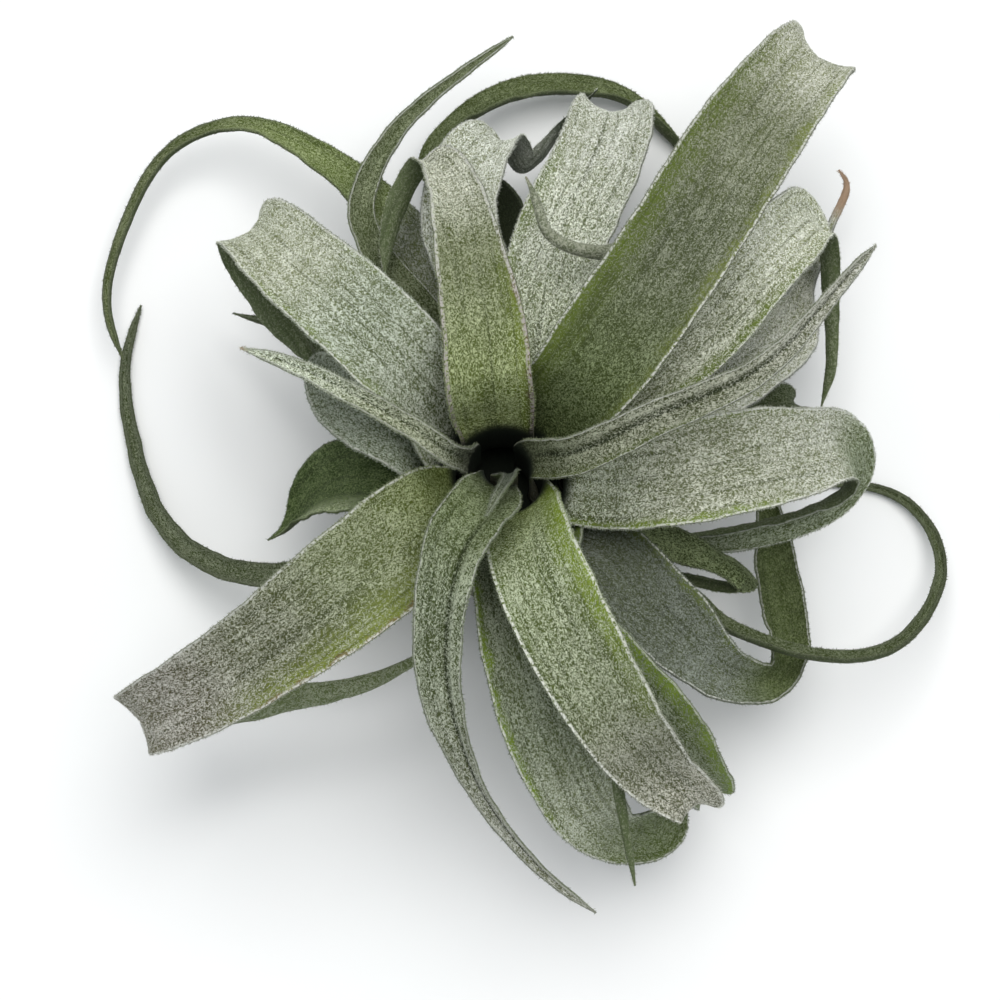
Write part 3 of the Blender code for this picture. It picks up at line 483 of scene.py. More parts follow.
def buildLeaf(name, leaf, rng):
    grid = sweepLeaf(leaf, rng)
    rings, columns = grid["top"].shape[:2]
    points = np.concatenate([grid["top"].reshape(-1, 3), grid["under"].reshape(-1, 3)])
    triangles = skinTriangles(rings, columns)
    corner = points[triangles]
    if np.sum(corner[:, 0] * np.cross(corner[:, 1], corner[:, 2])) < 0.0:
        triangles = triangles[:, ::-1]
    across = np.broadcast_to(grid["place"], (rings, columns))
    along = np.broadcast_to(grid["along"][:, None], (rings, columns))
    chart = np.zeros((rings, columns, 3))  # where a point lies on the blade laid flat, for the patterns
    chart[..., 0] = across * grid["halfWidth"][:, None]
    chart[..., 1] = grid["run"][:, None]
    underChart = chart + np.array([0.0, 0.0, blade["underPattern"]])
    seed = np.array([rng.uniform(0.0, blade["patternSpan"]), rng.uniform(0.0, blade["patternSpan"]), 0.0])
    bare = np.broadcast_to(grid["blend"][:, None], (rings, columns))
    piece = meshFrom(name, points, triangles, {
        "across": np.tile(across.ravel(), 2), "along": np.tile(along.ravel(), 2),
        "upper": np.repeat([1.0, 0.0], rings * columns), "open": np.tile(bare.ravel(), 2),
        "chart": np.concatenate([chart.reshape(-1, 3), underChart.reshape(-1, 3)]) + seed,
    })
    piece.data.shade_smooth()
    piece.data.set_sharp_from_angle(angle=math.radians(blade["sharpAngle"]))
    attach(piece, "root")
    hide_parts(leaf["node"])
    return piece, grid


# Scales and hairs: closed slivers rooted in the surface. Densities are to a square millimetre of blade, and
# to a millimetre of margin. Lengths, widths and depths are in millimetres, leans are shares of a length
fuzz = {
    "topDensity": 1.9, "underDensity": 0.5, "marginPerMm": 4.0, "bareBase": 0.15, "length": (0.45, 0.95),
    "width": 0.19, "widthSpread": (0.6, 1.2), "turn": 0.9, "lift": (0.08, 0.40), "sink": 0.05, "rise": 0.06,
    "ridgeAt": 0.2, "marginForward": 0.35, "marginSpread": 0.75, "marginRise": 0.7, "marginDepth": 0.25,
    "marginLength": 0.7, "marginUpper": 0.7, "floorGap": 0.02,
}


def sliverBodies(root, direction, normal, length, width):
    # Four points each: two at the root's sides, one raised ridge, one tip
    side = unit(np.cross(direction, normal)) * (width / 2.0)[:, None]
    base = root - normal * fuzz["sink"]
    reach = direction * length[:, None]
    ridge = base + normal * (fuzz["sink"] + fuzz["rise"]) + reach * fuzz["ridgeAt"]
    points = np.stack([base - side, base + side, ridge, base + reach + normal * fuzz["sink"]], 1)
    corners = np.array([(0, 1, 2), (1, 3, 2), (3, 0, 2), (0, 3, 1)])
    triangles = corners[None] + 4 * np.arange(len(root))[:, None, None]
    return points.reshape(-1, 3), triangles.reshape(-1, 3)


def cellAreas(points):
    corner = points[:-1, :-1]
    return np.linalg.norm(np.cross(points[1:, :-1] - corner, points[:-1, 1:] - corner), axis=-1)


def scatterOn(points, normals, tangents, along, share, count, rng):
    # Random places on a grid of rings and columns, chosen by area times the wanted share
    area = cellAreas(points)
    chance = (area * share).ravel()
    cells = rng.choice(len(chance), size=count, p=chance / chance.sum())
    i, j = np.unravel_index(cells, area.shape)
    a, b = rng.random(count)[:, None], rng.random(count)[:, None]

    def between(grid):
        low = grid[i, j] * (1 - b) + grid[i, j + 1] * b
        high = grid[i + 1, j] * (1 - b) + grid[i + 1, j + 1] * b
        return low * (1 - a) + high * a

    return between(points), unit(between(normals)), unit(between(tangents)), between(along)[:, 0]


def faceScales(face, sign, amount, grid, onBlade, rng):
    # Scales on one face of a blade, turned every way and lifted a little off it
    shape = grid[face].shape
    tangents = np.broadcast_to(grid["tangent"][:, None], shape)
    along = np.broadcast_to(grid["along"][:, None, None], (shape[0], shape[1], 1))
    count = int(float(cellAreas(grid[face]).sum()) * fuzz[face + "Density"] * amount)
    root, n, t, reach = scatterOn(grid[face], grid["up"] * sign, tangents, along, onBlade, count, rng)
    turn = rng.normal(0.0, fuzz["turn"], count)[:, None]
    heading = t * np.cos(turn) + np.cross(n, t) * np.sin(turn)
    heading = unit(heading + n * rng.uniform(*fuzz["lift"], count)[:, None])
    length = rng.uniform(*fuzz["length"], count)
    return root, n, heading, length, reach, np.full(count, (1.0 + sign) / 2.0)


def marginHairs(edge, inner, grid, onBlade, rng):
    # Hairs along one margin, which lean out and toward the tip
    line = (grid["top"][:, edge] + grid["under"][:, edge]) / 2.0
    step = np.linalg.norm(np.diff(line, axis=0), axis=1)
    count = int(step.sum() * fuzz["marginPerMm"])
    chance = step * onBlade[:, 0]
    cells = rng.choice(len(step), size=count, p=chance / np.sum(chance))
    a = rng.random(count)[:, None]
    p = line[cells] * (1 - a) + line[cells + 1] * a
    n, t = grid["up"][cells, edge], grid["tangent"][cells]
    out = unit(line[cells] - grid["top"][cells, inner])
    spread = rng.normal(0.0, fuzz["marginSpread"], (count, 2))
    heading = unit(out + t * (fuzz["marginForward"] + spread[:, :1]) + n * spread[:, 1:] * fuzz["marginRise"])
    root = p + n * rng.uniform(-fuzz["marginDepth"], fuzz["marginDepth"], count)[:, None]
    length = rng.uniform(*fuzz["length"], count) * fuzz["marginLength"]
    upper = np.full(count, fuzz["marginUpper"])
    return root, unit(np.cross(t, out)), heading, length, grid["along"][cells], upper


def buildFuzz(name, grid, amount, rng):
    rings, columns = grid["top"].shape[:2]
    onBlade = np.clip(grid["blend"] - fuzz["bareBase"], 0.0, 1.0)[:-1, None]
    onBlade = np.broadcast_to(onBlade, (rings - 1, columns - 1))
    parts = [faceScales("top", 1.0, amount, grid, onBlade, rng),
             faceScales("under", -1.0, amount, grid, onBlade, rng),
             marginHairs(0, 1, grid, onBlade, rng),
             marginHairs(columns - 1, columns - 2, grid, onBlade, rng)]
    root, normal, heading, length, along, upper = (np.concatenate(part) for part in zip(*parts))
    width = fuzz["width"] * rng.uniform(*fuzz["widthSpread"], len(root))
    points, triangles = sliverBodies(root, heading, normal, length, width)
    corner = points[triangles[:4]]
    if np.sum(corner[:, 0] * np.cross(corner[:, 1], corner[:, 2])) < 0.0:
        triangles = triangles[:, ::-1]
    points[:, 2] = np.maximum(points[:, 2], fuzz["floorGap"])
    shade = rng.random(len(root))
    piece = meshFrom(name, points, triangles, {
        "shade": np.repeat(shade, 4), "along": np.repeat(along, 4), "upper": np.repeat(upper, 4)})
    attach(piece, "root")
    return piece


# Finishes. Node helpers keep the material code short
def node(tree, kind, **settings):
    made = tree.nodes.new(kind)
    for key, value in settings.items():
        setattr(made, key, value)
    return made


def feed(tree, socket, value):  # a number, a colour, a vector or another node's output
    if isinstance(value, bpy.types.NodeSocket):
        tree.links.new(value, socket)
    elif socket.type == "RGBA":
        socket.default_value = (*value, 1.0)
    else:
        socket.default_value = value


def mathNode(tree, operation, *values):
    made = node(tree, "ShaderNodeMath", operation=operation)
    for socket, value in zip(made.inputs, values):
        feed(tree, socket, value)
    return made.outputs[0]


def times(tree, first, second):
    return mathNode(tree, "MULTIPLY", first, second)


def plus(tree, first, second):
    return mathNode(tree, "ADD", first, second)


def minus(tree, first, second):
    return mathNode(tree, "SUBTRACT", first, second)


def vectorNode(tree, operation, first, second):
    made = node(tree, "ShaderNodeVectorMath", operation=operation)
    feed(tree, made.inputs[0], first)
    feed(tree, made.inputs[1], second)
    return made.outputs[0]


def rangeNode(tree, value, low, high):  # 0 at low, 1 at high, with a soft start and end
    made = node(tree, "ShaderNodeMapRange", interpolation_type="SMOOTHSTEP")
    for label, given in (("Value", value), ("From Min", low), ("From Max", high)):
        feed(tree, made.inputs[label], given)
    return made.outputs[0]


def mixNode(tree, factor, first, second, blend="MIX"):
    made = node(tree, "ShaderNodeMix", data_type="RGBA", blend_type=blend)
    for index, value in ((0, factor), (6, first), (7, second)):
        feed(tree, made.inputs[index], value)
    return made.outputs[2]


def noiseNode(tree, vector, scale, detail=2.0):
    made = node(tree, "ShaderNodeTexNoise")
    for label, value in (("Vector", vector), ("Scale", scale), ("Detail", detail)):
        feed(tree, made.inputs[label], value)
    return made


def attributeNode(tree, name, output="Fac"):
    return node(tree, "ShaderNodeAttribute", attribute_type="GEOMETRY", attribute_name=name).outputs[output]


def newGroup(name, inputs, outputs):
    group = bpy.data.node_groups.new(name, "ShaderNodeTree")
    for label, default in inputs.items():
        socket = group.interface.new_socket(label, in_out="INPUT", socket_type="NodeSocketFloat")
        socket.default_value = default
    for label in outputs:
        group.interface.new_socket(label, in_out="OUTPUT", socket_type="NodeSocketFloat")
    return group, group.nodes.new("NodeGroupInput").outputs, group.nodes.new("NodeGroupOutput").inputs


# Noise scales are to a millimetre of blade. Stretches are across the blade, along it and between its faces
feltGrain = {
    "warp": 0.9, "drift": (1.7, 1.7, 1.7), "strokes": (1.7, 0.62, 1.0), "roughness": 0.6, "twist": 0.5,
    "patch": 0.16, "patchDetail": 3.0, "streaks": (0.55, 0.06, 1.0), "uneven": 0.15, "bare": 0.68,
    "reach": 0.36, "shade": (0.3, 0.7), "fibres": (1.0, 0.022, 1.0), "fibreEnds": (0.52, 0.66),
}


def makeScaleGroup():
    # Felt of pale scales: short strokes that lean every way, denser or thinner with Cover
    settings = {"Cover": 0.45, "Grain": 2.6, "Contrast": 0.058}
    group, given, out = newGroup("scaleFelt", settings, ["Fleck", "Shade"])
    chart = attributeNode(group, "chart", "Vector")
    warp = noiseNode(group, chart, feltGrain["warp"])
    drift = vectorNode(group, "MULTIPLY", warp.outputs["Color"], feltGrain["drift"])
    leaning = vectorNode(group, "MULTIPLY", vectorNode(group, "ADD", chart, drift), feltGrain["strokes"])
    strokes = noiseNode(group, leaning, given["Grain"])
    strokes.inputs["Roughness"].default_value = feltGrain["roughness"]
    strokes.inputs["Distortion"].default_value = feltGrain["twist"]

    # Patches and lengthwise streaks where the felt is worn or thick
    patch = noiseNode(group, chart, feltGrain["patch"], feltGrain["patchDetail"]).outputs[0]
    streak = noiseNode(group, vectorNode(group, "MULTIPLY", chart, feltGrain["streaks"]), 1.0).outputs[0]
    uneven = times(group, minus(group, plus(group, patch, streak), 1.0), feltGrain["uneven"])
    level = minus(group, feltGrain["bare"], times(group, given["Cover"], feltGrain["reach"]))
    level = minus(group, level, uneven)
    low, high = minus(group, level, given["Contrast"]), plus(group, level, given["Contrast"])
    feed(group, out["Fleck"], rangeNode(group, strokes.outputs[0], low, high))
    feed(group, out["Shade"], rangeNode(group, warp.outputs[0], *feltGrain["shade"]))
    return group


def makeVeinGroup():
    # Fine lengthwise lines, as leaf fibres draw them
    group, given, out = newGroup("leafVeins", {"Across Scale": 1.1}, ["Vein"])
    drawn = vectorNode(group, "MULTIPLY", attributeNode(group, "chart", "Vector"), feltGrain["fibres"])
    lines = noiseNode(group, drawn, given["Across Scale"])
    feed(group, out["Vein"], rangeNode(group, lines.outputs[0], *feltGrain["fibreEnds"]))
    return group


margins = {
    "beads": 1.5, "beadEnds": (0.40, 0.53), "edgeFade": 0.04, "faceEnds": (0.2, 0.7), "wander": 0.22,
    "wanderDetail": 4.0, "sway": 0.5,
}


def makeMarginGroup():
    # Rim is the outermost line. Left and Right are soft zones as wide as Zone, seen from the stem
    group, given, out = newGroup("leafMargins", {"Zone": 0.45, "Edge": 0.94}, ["Rim", "Left", "Right"])
    across = attributeNode(group, "across")
    chart = attributeNode(group, "chart", "Vector")
    beads = rangeNode(group, noiseNode(group, chart, margins["beads"]).outputs[0], *margins["beadEnds"])
    edgeEnd = plus(group, given["Edge"], margins["edgeFade"])
    edge = rangeNode(group, mathNode(group, "ABSOLUTE", across), given["Edge"], edgeEnd)
    face = rangeNode(group, attributeNode(group, "upper"), *margins["faceEnds"])
    feed(group, out["Rim"], times(group, times(group, edge, face), beads))
    wander = noiseNode(group, chart, margins["wander"], margins["wanderDetail"]).outputs[0]
    shift = times(group, minus(group, wander, 0.5), margins["sway"])
    start = minus(group, 1.0, given["Zone"])
    feed(group, out["Left"], rangeNode(group, plus(group, across, shift), start, 1.0))
    feed(group, out["Right"], rangeNode(group, minus(group, shift, across), start, 1.0))
    return group


foldLine = {"wander": 0.12, "sway": 0.12, "fade": 0.08}


def makeCreaseGroup():
    # One lengthwise fold line, at Place across the blade, between Start and End along it
    settings = {"Place": 0.0, "Width": 0.1, "Start": 0.1, "End": 0.6}
    group, given, out = newGroup("leafCrease", settings, ["Crease"])
    wander = noiseNode(group, attributeNode(group, "chart", "Vector"), foldLine["wander"]).outputs[0]
    shift = times(group, minus(group, wander, 0.5), foldLine["sway"])
    away = minus(group, plus(group, attributeNode(group, "across"), shift), given["Place"])
    line = rangeNode(group, mathNode(group, "ABSOLUTE", away), given["Width"], 0.0)
    along = attributeNode(group, "along")
    begin = rangeNode(group, along, given["Start"], plus(group, given["Start"], foldLine["fade"]))
    finish = rangeNode(group, along, given["End"], minus(group, given["End"], foldLine["fade"]))
    feed(group, out["Crease"], times(group, line, times(group, begin, finish)))
    return group


scaleGroup = makeScaleGroup()
veinGroup = makeVeinGroup()
marginGroup = makeMarginGroup()
creaseGroup = makeCreaseGroup()


def placeGroup(tree, group, values):
    placed = node(tree, "ShaderNodeGroup", node_tree=group)
    for label, value in values.items():
        feed(tree, placed.inputs[label], value)
    return placed.outputs


# What all leaves share: gains on the colours below, then the tones of sheaths, veins, the painted shade deep
# in the throat and the painted shade in folds
felt = {
    "tissueGain": (0.82, 0.87, 0.52), "zoneGain": (1.35, 1.40, 1.0), "scaleGain": (1.62, 1.60, 1.62),
    "dimHair": (0.7, 0.7, 0.65), "paleHair": (2.1, 2.1, 2.1), "dimUnder": (0.6, 0.6, 0.6),
    "faceEnds": (0.3, 0.9), "sheathEnds": (0.5, 0.0), "sheathTissue": (0.120, 0.125, 0.075),
    "sheathScales": (0.34, 0.34, 0.27), "throatShade": (0.020, 0.027, 0.018), "throatShadeEnds": (0.0, 0.5),
    "veinTone": (0.03, 0.04, 0.015), "veinCover": 0.12, "veinDepth": -0.4, "creaseShadeTone": (0.012, 0.018, 0.006),
    "foldCover": 0.25, "foldDepth": 2.0, "shaded": (0.55, 0.55, 0.55), "shadedShare": 0.35,
    "bumpDistance": 0.0002, "dryFade": 0.06, "hairRoughness": 0.65, "hairGloss": 0.3,
}

# Looks. Tissue, scales, rim and undersides are one colour, or stops along the leaf: where, then the colour.
# Zones are (side, width, strength stops, colour, share of scales lost), creases (place across, width, start,
# end, depth), where a depth above nought darkens the groove as painted shade, and a depth below nought is a
# ridge with thicker felt, paler as partly a painted highlight. Gain brightens one leaf's tissue and scales,
# and fuzz is its share of the usual count of scales
plainLook = {
    "gain": 1.0, "fuzz": 1.0, "rimShare": 0.85, "edge": 0.94, "underCover": 0.36, "vein": 0.42,
    "roughness": 0.75, "gloss": 0.2, "bump": 0.5, "dryTip": (0.44, 0.31, 0.21),
    "tissue": (0.07, 0.085, 0.045), "scales": (0.22, 0.25, 0.18), "cover": [(0.0, 0.42), (0.6, 0.46)],
    "rim": (0.62, 0.63, 0.58), "under": (0.075, 0.1, 0.04), "underScales": (0.2, 0.23, 0.14),
    "zones": [], "creases": [],
}
looks = {
    "budLeaf": {
        "fuzz": 0.6, "rimShare": 0.3,
        "tissue": [(0.0, 0.012, 0.016, 0.012), (0.5, 0.024, 0.031, 0.02), (0.9, 0.07, 0.084, 0.05)],
        "scales": [(0.0, 0.04, 0.048, 0.04), (0.5, 0.08, 0.092, 0.068), (0.9, 0.19, 0.215, 0.155)]},
    "frontLongLeaf": {
        "gain": 1.2, "rimShare": 0.5,
        "tissue": [(0.0, 0.026, 0.034, 0.014), (0.14, 0.05, 0.066, 0.022), (0.35, 0.048, 0.062, 0.028),
                   (0.7, 0.075, 0.082, 0.055), (1.0, 0.105, 0.108, 0.085)],
        "scales": [(0.0, 0.085, 0.102, 0.06), (0.14, 0.15, 0.18, 0.1), (0.4, 0.21, 0.235, 0.175),
                   (0.8, 0.27, 0.28, 0.245)],
        "creases": [(0.32, 0.13, 0.12, 0.9, 0.75), (0.56, 0.13, 0.2, 0.9, -0.9),
                    (-0.4, 0.14, 0.25, 0.8, 0.3)]},
    "rightLongLeaf": {
        "gain": 0.95, "rimShare": 0.7,
        "tissue": [(0.0, 0.045, 0.054, 0.02), (0.4, 0.06, 0.068, 0.04), (0.85, 0.11, 0.117, 0.09)],
        "scales": [(0.0, 0.2, 0.225, 0.14), (0.4, 0.27, 0.285, 0.22), (0.85, 0.38, 0.39, 0.34)],
        "zones": [("Right", 0.5, [(0.0, 0.7), (0.35, 0.6), (0.6, 0.0)], (0.075, 0.095, 0.028), 0.3)],
        "creases": [(0.12, 0.24, 0.0, 0.95, 0.85), (0.6, 0.25, 0.0, 0.9, -0.7)]},
    "leftLongLeaf": {
        "gain": 1.3, "rimShare": 0.6, "dryFrom": 0.96,
        "tissue": [(0.0, 0.02, 0.023, 0.01), (0.14, 0.026, 0.03, 0.014), (0.4, 0.06, 0.07, 0.036),
                   (0.8, 0.105, 0.124, 0.08)],
        "scales": [(0.0, 0.07, 0.077, 0.058), (0.14, 0.11, 0.12, 0.088), (0.4, 0.25, 0.27, 0.2),
                   (0.8, 0.38, 0.41, 0.34)],
        "creases": [(-0.1, 0.3, 0.0, 0.95, 0.6)]},
    "frontBroadLeaf": {
        "gain": 1.05, "edge": 0.92,
        "tissue": [(0.0, 0.115, 0.15, 0.035), (0.16, 0.095, 0.122, 0.045), (0.35, 0.085, 0.104, 0.05),
                   (0.5, 0.084, 0.09, 0.062), (0.62, 0.13, 0.13, 0.108)],
        "scales": [(0.0, 0.28, 0.34, 0.15), (0.2, 0.31, 0.35, 0.24), (0.38, 0.28, 0.31, 0.22),
                   (0.5, 0.24, 0.25, 0.2), (0.62, 0.42, 0.42, 0.36)],
        "rim": (0.74, 0.75, 0.69),
        "zones": [("Left", 0.8, [(0.0, 1.0), (0.24, 0.95), (0.42, 0.3), (0.5, 0.0)],
                   (0.14, 0.19, 0.022), 0.55),
                  ("Right", 0.3, [(0.0, 0.5), (0.2, 0.5), (0.45, 0.0)], (0.085, 0.12, 0.03), 0.3)],
        "creases": [(0.15, 0.1, 0.08, 0.4, 0.3)]},
    "uprightLeaf": {
        "gain": 1.15, "edge": 0.89,
        "tissue": [(0.0, 0.15, 0.182, 0.05), (0.12, 0.095, 0.118, 0.038), (0.3, 0.07, 0.086, 0.034),
                   (0.46, 0.076, 0.088, 0.042), (0.6, 0.14, 0.148, 0.117)],
        "scales": [(0.0, 0.42, 0.48, 0.24), (0.12, 0.25, 0.29, 0.15), (0.4, 0.19, 0.21, 0.135),
                   (0.6, 0.42, 0.434, 0.365)],
        "rim": [(0.0, 0.36, 0.31, 0.3), (0.25, 0.42, 0.39, 0.37), (0.45, 0.56, 0.56, 0.52)],
        "zones": [("Right", 0.65, [(0.0, 0.8), (0.3, 0.85), (0.48, 0.0)], (0.098, 0.125, 0.02), 0.45),
                  ("Right", 0.16, [(0.0, 1.0), (0.35, 0.9), (0.5, 0.0)], (0.075, 0.048, 0.04), 0.3)],
        "creases": [(-0.1, 0.08, 0.1, 0.45, 0.25)]},
    "frontLeftLeaf": {
        "underCover": 0.46,
        "tissue": [(0.0, 0.075, 0.098, 0.016), (0.1, 0.085, 0.105, 0.03), (0.22, 0.094, 0.112, 0.05),
                   (0.36, 0.08, 0.084, 0.05), (0.5, 0.088, 0.078, 0.064), (0.6, 0.14, 0.134, 0.112)],
        "scales": [(0.0, 0.22, 0.27, 0.1), (0.2, 0.25, 0.28, 0.18), (0.36, 0.29, 0.305, 0.24),
                   (0.5, 0.335, 0.335, 0.295)],
        "under": (0.118, 0.152, 0.06), "underScales": (0.33, 0.37, 0.25),
        "zones": [("Left", 0.85, [(0.0, 0.7), (0.1, 0.95), (0.36, 0.85), (0.5, 0.0)],
                   (0.135, 0.16, 0.036), 0.45),
                  ("Left", 0.1, [(0.08, 0.0), (0.2, 0.7), (0.38, 0.7), (0.46, 0.0)],
                   (0.12, 0.07, 0.052), 0.4)],
        "creases": [(0.18, 0.09, 0.2, 0.5, 0.35)]},
    "backRightLeaf": {
        "underCover": 0.5, "dryFrom": 0.985,
        "tissue": [(0.0, 0.028, 0.04, 0.008), (0.1, 0.04, 0.055, 0.015), (0.24, 0.064, 0.077, 0.042),
                   (0.38, 0.1, 0.114, 0.068), (0.5, 0.22, 0.233, 0.18)],
        "scales": [(0.0, 0.1, 0.13, 0.05), (0.1, 0.125, 0.155, 0.075), (0.24, 0.165, 0.18, 0.13),
                   (0.38, 0.21, 0.225, 0.165), (0.5, 0.43, 0.44, 0.38)],
        "under": (0.13, 0.15, 0.09), "underScales": (0.36, 0.38, 0.29),
        "zones": [("Left", 0.8, [(0.0, 0.7), (0.2, 0.9), (0.42, 0.8), (0.52, 0.0)],
                   (0.068, 0.092, 0.016), 0.5),
                  ("Right", 0.32, [(0.05, 0.4), (0.2, 0.75), (0.46, 0.8), (0.55, 0.2)],
                   (0.115, 0.135, 0.042), 0.4)],
        "creases": [(0.3, 0.09, 0.15, 0.46, 0.25)]},
    "leftBroadLeaf": {
        "gain": 1.08,
        "tissue": [(0.0, 0.085, 0.1, 0.068), (0.3, 0.125, 0.143, 0.108), (0.5, 0.2, 0.214, 0.165)],
        "scales": [(0.0, 0.3, 0.32, 0.26), (0.3, 0.34, 0.375, 0.31), (0.5, 0.41, 0.43, 0.36)],
        "zones": [("Left", 0.28, [(0.0, 0.7), (0.45, 0.8), (0.6, 0.0)], (0.11, 0.14, 0.05), 0.35),
                  ("Right", 0.2, [(0.0, 0.6), (0.45, 0.6), (0.6, 0.0)], (0.1, 0.125, 0.05), 0.3)]},
    "rightBroadLeaf": {
        "gain": 1.15,
        "tissue": [(0.0, 0.13, 0.15, 0.1), (0.25, 0.115, 0.126, 0.09), (0.5, 0.17, 0.18, 0.145),
                   (0.6, 0.085, 0.105, 0.058)],
        "scales": [(0.0, 0.42, 0.46, 0.37), (0.25, 0.34, 0.355, 0.29), (0.5, 0.38, 0.395, 0.345),
                   (0.6, 0.21, 0.24, 0.17)],
        "zones": [("Right", 0.26, [(0.0, 1.0), (0.3, 0.9), (0.45, 0.0)], (0.12, 0.16, 0.035), 0.55),
                  ("Left", 0.2, [(0.1, 0.0), (0.2, 0.7), (0.4, 0.7), (0.5, 0.0)],
                   (0.1, 0.125, 0.045), 0.35)]},
    "frontLowLeaf": {
        "tissue": [(0.0, 0.055, 0.068, 0.038), (0.4, 0.085, 0.102, 0.062), (0.62, 0.19, 0.21, 0.16),
                   (0.8, 0.085, 0.115, 0.04)],
        "scales": [(0.0, 0.2, 0.225, 0.16), (0.4, 0.235, 0.265, 0.195), (0.62, 0.38, 0.41, 0.33),
                   (0.8, 0.17, 0.2, 0.12)],
        "zones": [("Right", 0.26, [(0.0, 0.9), (0.25, 1.0), (0.5, 0.9), (0.7, 0.0)],
                   (0.105, 0.15, 0.02), 0.6)]},
    "rightBackLeaf": {
        "tissue": [(0.0, 0.1, 0.115, 0.075), (0.35, 0.16, 0.175, 0.13), (0.55, 0.3, 0.315, 0.26)],
        "scales": [(0.0, 0.36, 0.385, 0.29), (0.35, 0.45, 0.47, 0.39), (0.55, 0.58, 0.6, 0.53)],
        "zones": [("Right", 0.42, [(0.0, 1.0), (0.45, 0.95), (0.65, 0.3)], (0.08, 0.108, 0.022), 0.65)]},
    "backLowLeaf": {
        "gain": 1.22,
        "tissue": [(0.0, 0.145, 0.17, 0.115), (0.4, 0.15, 0.168, 0.135), (0.6, 0.175, 0.188, 0.16)],
        "scales": [(0.0, 0.48, 0.52, 0.41), (0.4, 0.43, 0.45, 0.39), (0.6, 0.41, 0.425, 0.385)],
        "zones": [("Left", 0.4, [(0.0, 0.9), (0.5, 0.7), (0.6, 0.0)], (0.095, 0.13, 0.032), 0.5)],
        "creases": [(0.1, 0.12, 0.3, 0.7, 0.35)]},
    "leftLowLeaf": {"tissue": (0.1, 0.12, 0.085), "scales": (0.3, 0.335, 0.275)},
    # The darker grey tissue outside the green Left zone is partly its own grey-green and partly painted shade
    "frontUnderLeaf": {
        "tissue": [(0.0, 0.06, 0.075, 0.045), (0.4, 0.06, 0.078, 0.045), (0.65, 0.095, 0.12, 0.05)],
        "scales": [(0.0, 0.18, 0.205, 0.16), (0.5, 0.21, 0.24, 0.17)],
        "zones": [("Left", 0.75, [(0.0, 0.8), (0.3, 1.0), (0.75, 0.9)], (0.14, 0.2, 0.034), 0.65)]},
    # Its underside is painted dark as shade inside the curl, pale along the fold that shows, and near black
    # toward the tip
    "backInnerLeaf": {
        "gain": 1.1,
        "tissue": [(0.0, 0.09, 0.105, 0.07), (0.45, 0.2, 0.214, 0.178)],
        "scales": [(0.0, 0.3, 0.33, 0.26), (0.45, 0.48, 0.5, 0.45)],
        "under": [(0.0, 0.04, 0.056, 0.022), (0.6, 0.04, 0.056, 0.022), (0.68, 0.15, 0.165, 0.13),
                  (0.84, 0.15, 0.165, 0.13), (0.9, 0.02, 0.026, 0.014)],
        "underScales": [(0.0, 0.1, 0.12, 0.07), (0.68, 0.34, 0.36, 0.31), (0.84, 0.34, 0.36, 0.31),
                        (0.9, 0.04, 0.05, 0.03)]},
    # Dark tissue and scales are partly its own green and partly painted shade; the pale Left zone is painted
    # light on the curled margin
    "leftCurlLeaf": {
        "fuzz": 0.35, "tissue": (0.03, 0.052, 0.012), "scales": (0.085, 0.115, 0.045),
        "zones": [("Left", 0.6, [(0.2, 0.0), (0.4, 0.95), (0.9, 0.95)], (0.32, 0.35, 0.3), 0.0)]},
    # Painted light: paler tissue and scales at the base lift the shade that the right broad leaf casts there
    "frontRightLeaf": {
        "tissue": [(0.0, 0.11, 0.125, 0.098), (0.1, 0.08, 0.092, 0.07), (0.25, 0.068, 0.078, 0.06),
                   (0.42, 0.095, 0.108, 0.084), (0.55, 0.055, 0.075, 0.026)],
        "scales": [(0.0, 0.2, 0.22, 0.19), (0.12, 0.125, 0.142, 0.115), (0.42, 0.17, 0.19, 0.16),
                   (0.55, 0.1, 0.125, 0.055)],
        "zones": [("Left", 0.32, [(0.0, 0.8), (0.45, 0.7), (0.55, 0.0)], (0.088, 0.112, 0.036), 0.4)]},
    "dryTipLeaf": {
        "dryFrom": 0.87,
        "tissue": [(0.0, 0.09, 0.105, 0.045), (0.4, 0.185, 0.2, 0.16), (0.6, 0.24, 0.255, 0.205)],
        "scales": [(0.0, 0.27, 0.29, 0.22), (0.35, 0.39, 0.405, 0.36), (0.6, 0.5, 0.51, 0.46)],
        "under": (0.13, 0.145, 0.11), "underScales": (0.36, 0.38, 0.33)},
    "sickleLeaf": {"fuzz": 0.6, "tissue": (0.055, 0.07, 0.03), "scales": (0.16, 0.185, 0.11)},
    "leftTendril": {"fuzz": 0.5, "tissue": (0.045, 0.06, 0.026), "scales": (0.135, 0.155, 0.1)},
    "rightHookLeaf": {"fuzz": 0.5, "tissue": (0.045, 0.06, 0.022), "scales": (0.18, 0.22, 0.11)},
    "backLeftTendril": {
        "fuzz": 0.45,
        "tissue": [(0.0, 0.16, 0.18, 0.13), (0.26, 0.16, 0.18, 0.13), (0.33, 0.09, 0.12, 0.036),
                   (0.5, 0.11, 0.145, 0.045), (0.7, 0.058, 0.078, 0.026)],
        "scales": [(0.0, 0.3, 0.32, 0.27), (0.26, 0.3, 0.32, 0.27), (0.33, 0.19, 0.23, 0.11),
                   (0.5, 0.21, 0.25, 0.12), (0.7, 0.135, 0.155, 0.085)]},
    "loopTendril": {"fuzz": 0.45, "tissue": (0.045, 0.06, 0.022), "scales": (0.11, 0.13, 0.075)},
    "rightCurlLeaf": {"fuzz": 0.6, "tissue": (0.04, 0.056, 0.018), "scales": (0.1, 0.12, 0.07)},
    # Near black over its first third: painted shade where it runs under the dark gap between the back leaves
    "arcTendril": {
        "fuzz": 0.45,
        "tissue": [(0.0, 0.014, 0.02, 0.006), (0.36, 0.014, 0.02, 0.006), (0.46, 0.062, 0.08, 0.03)],
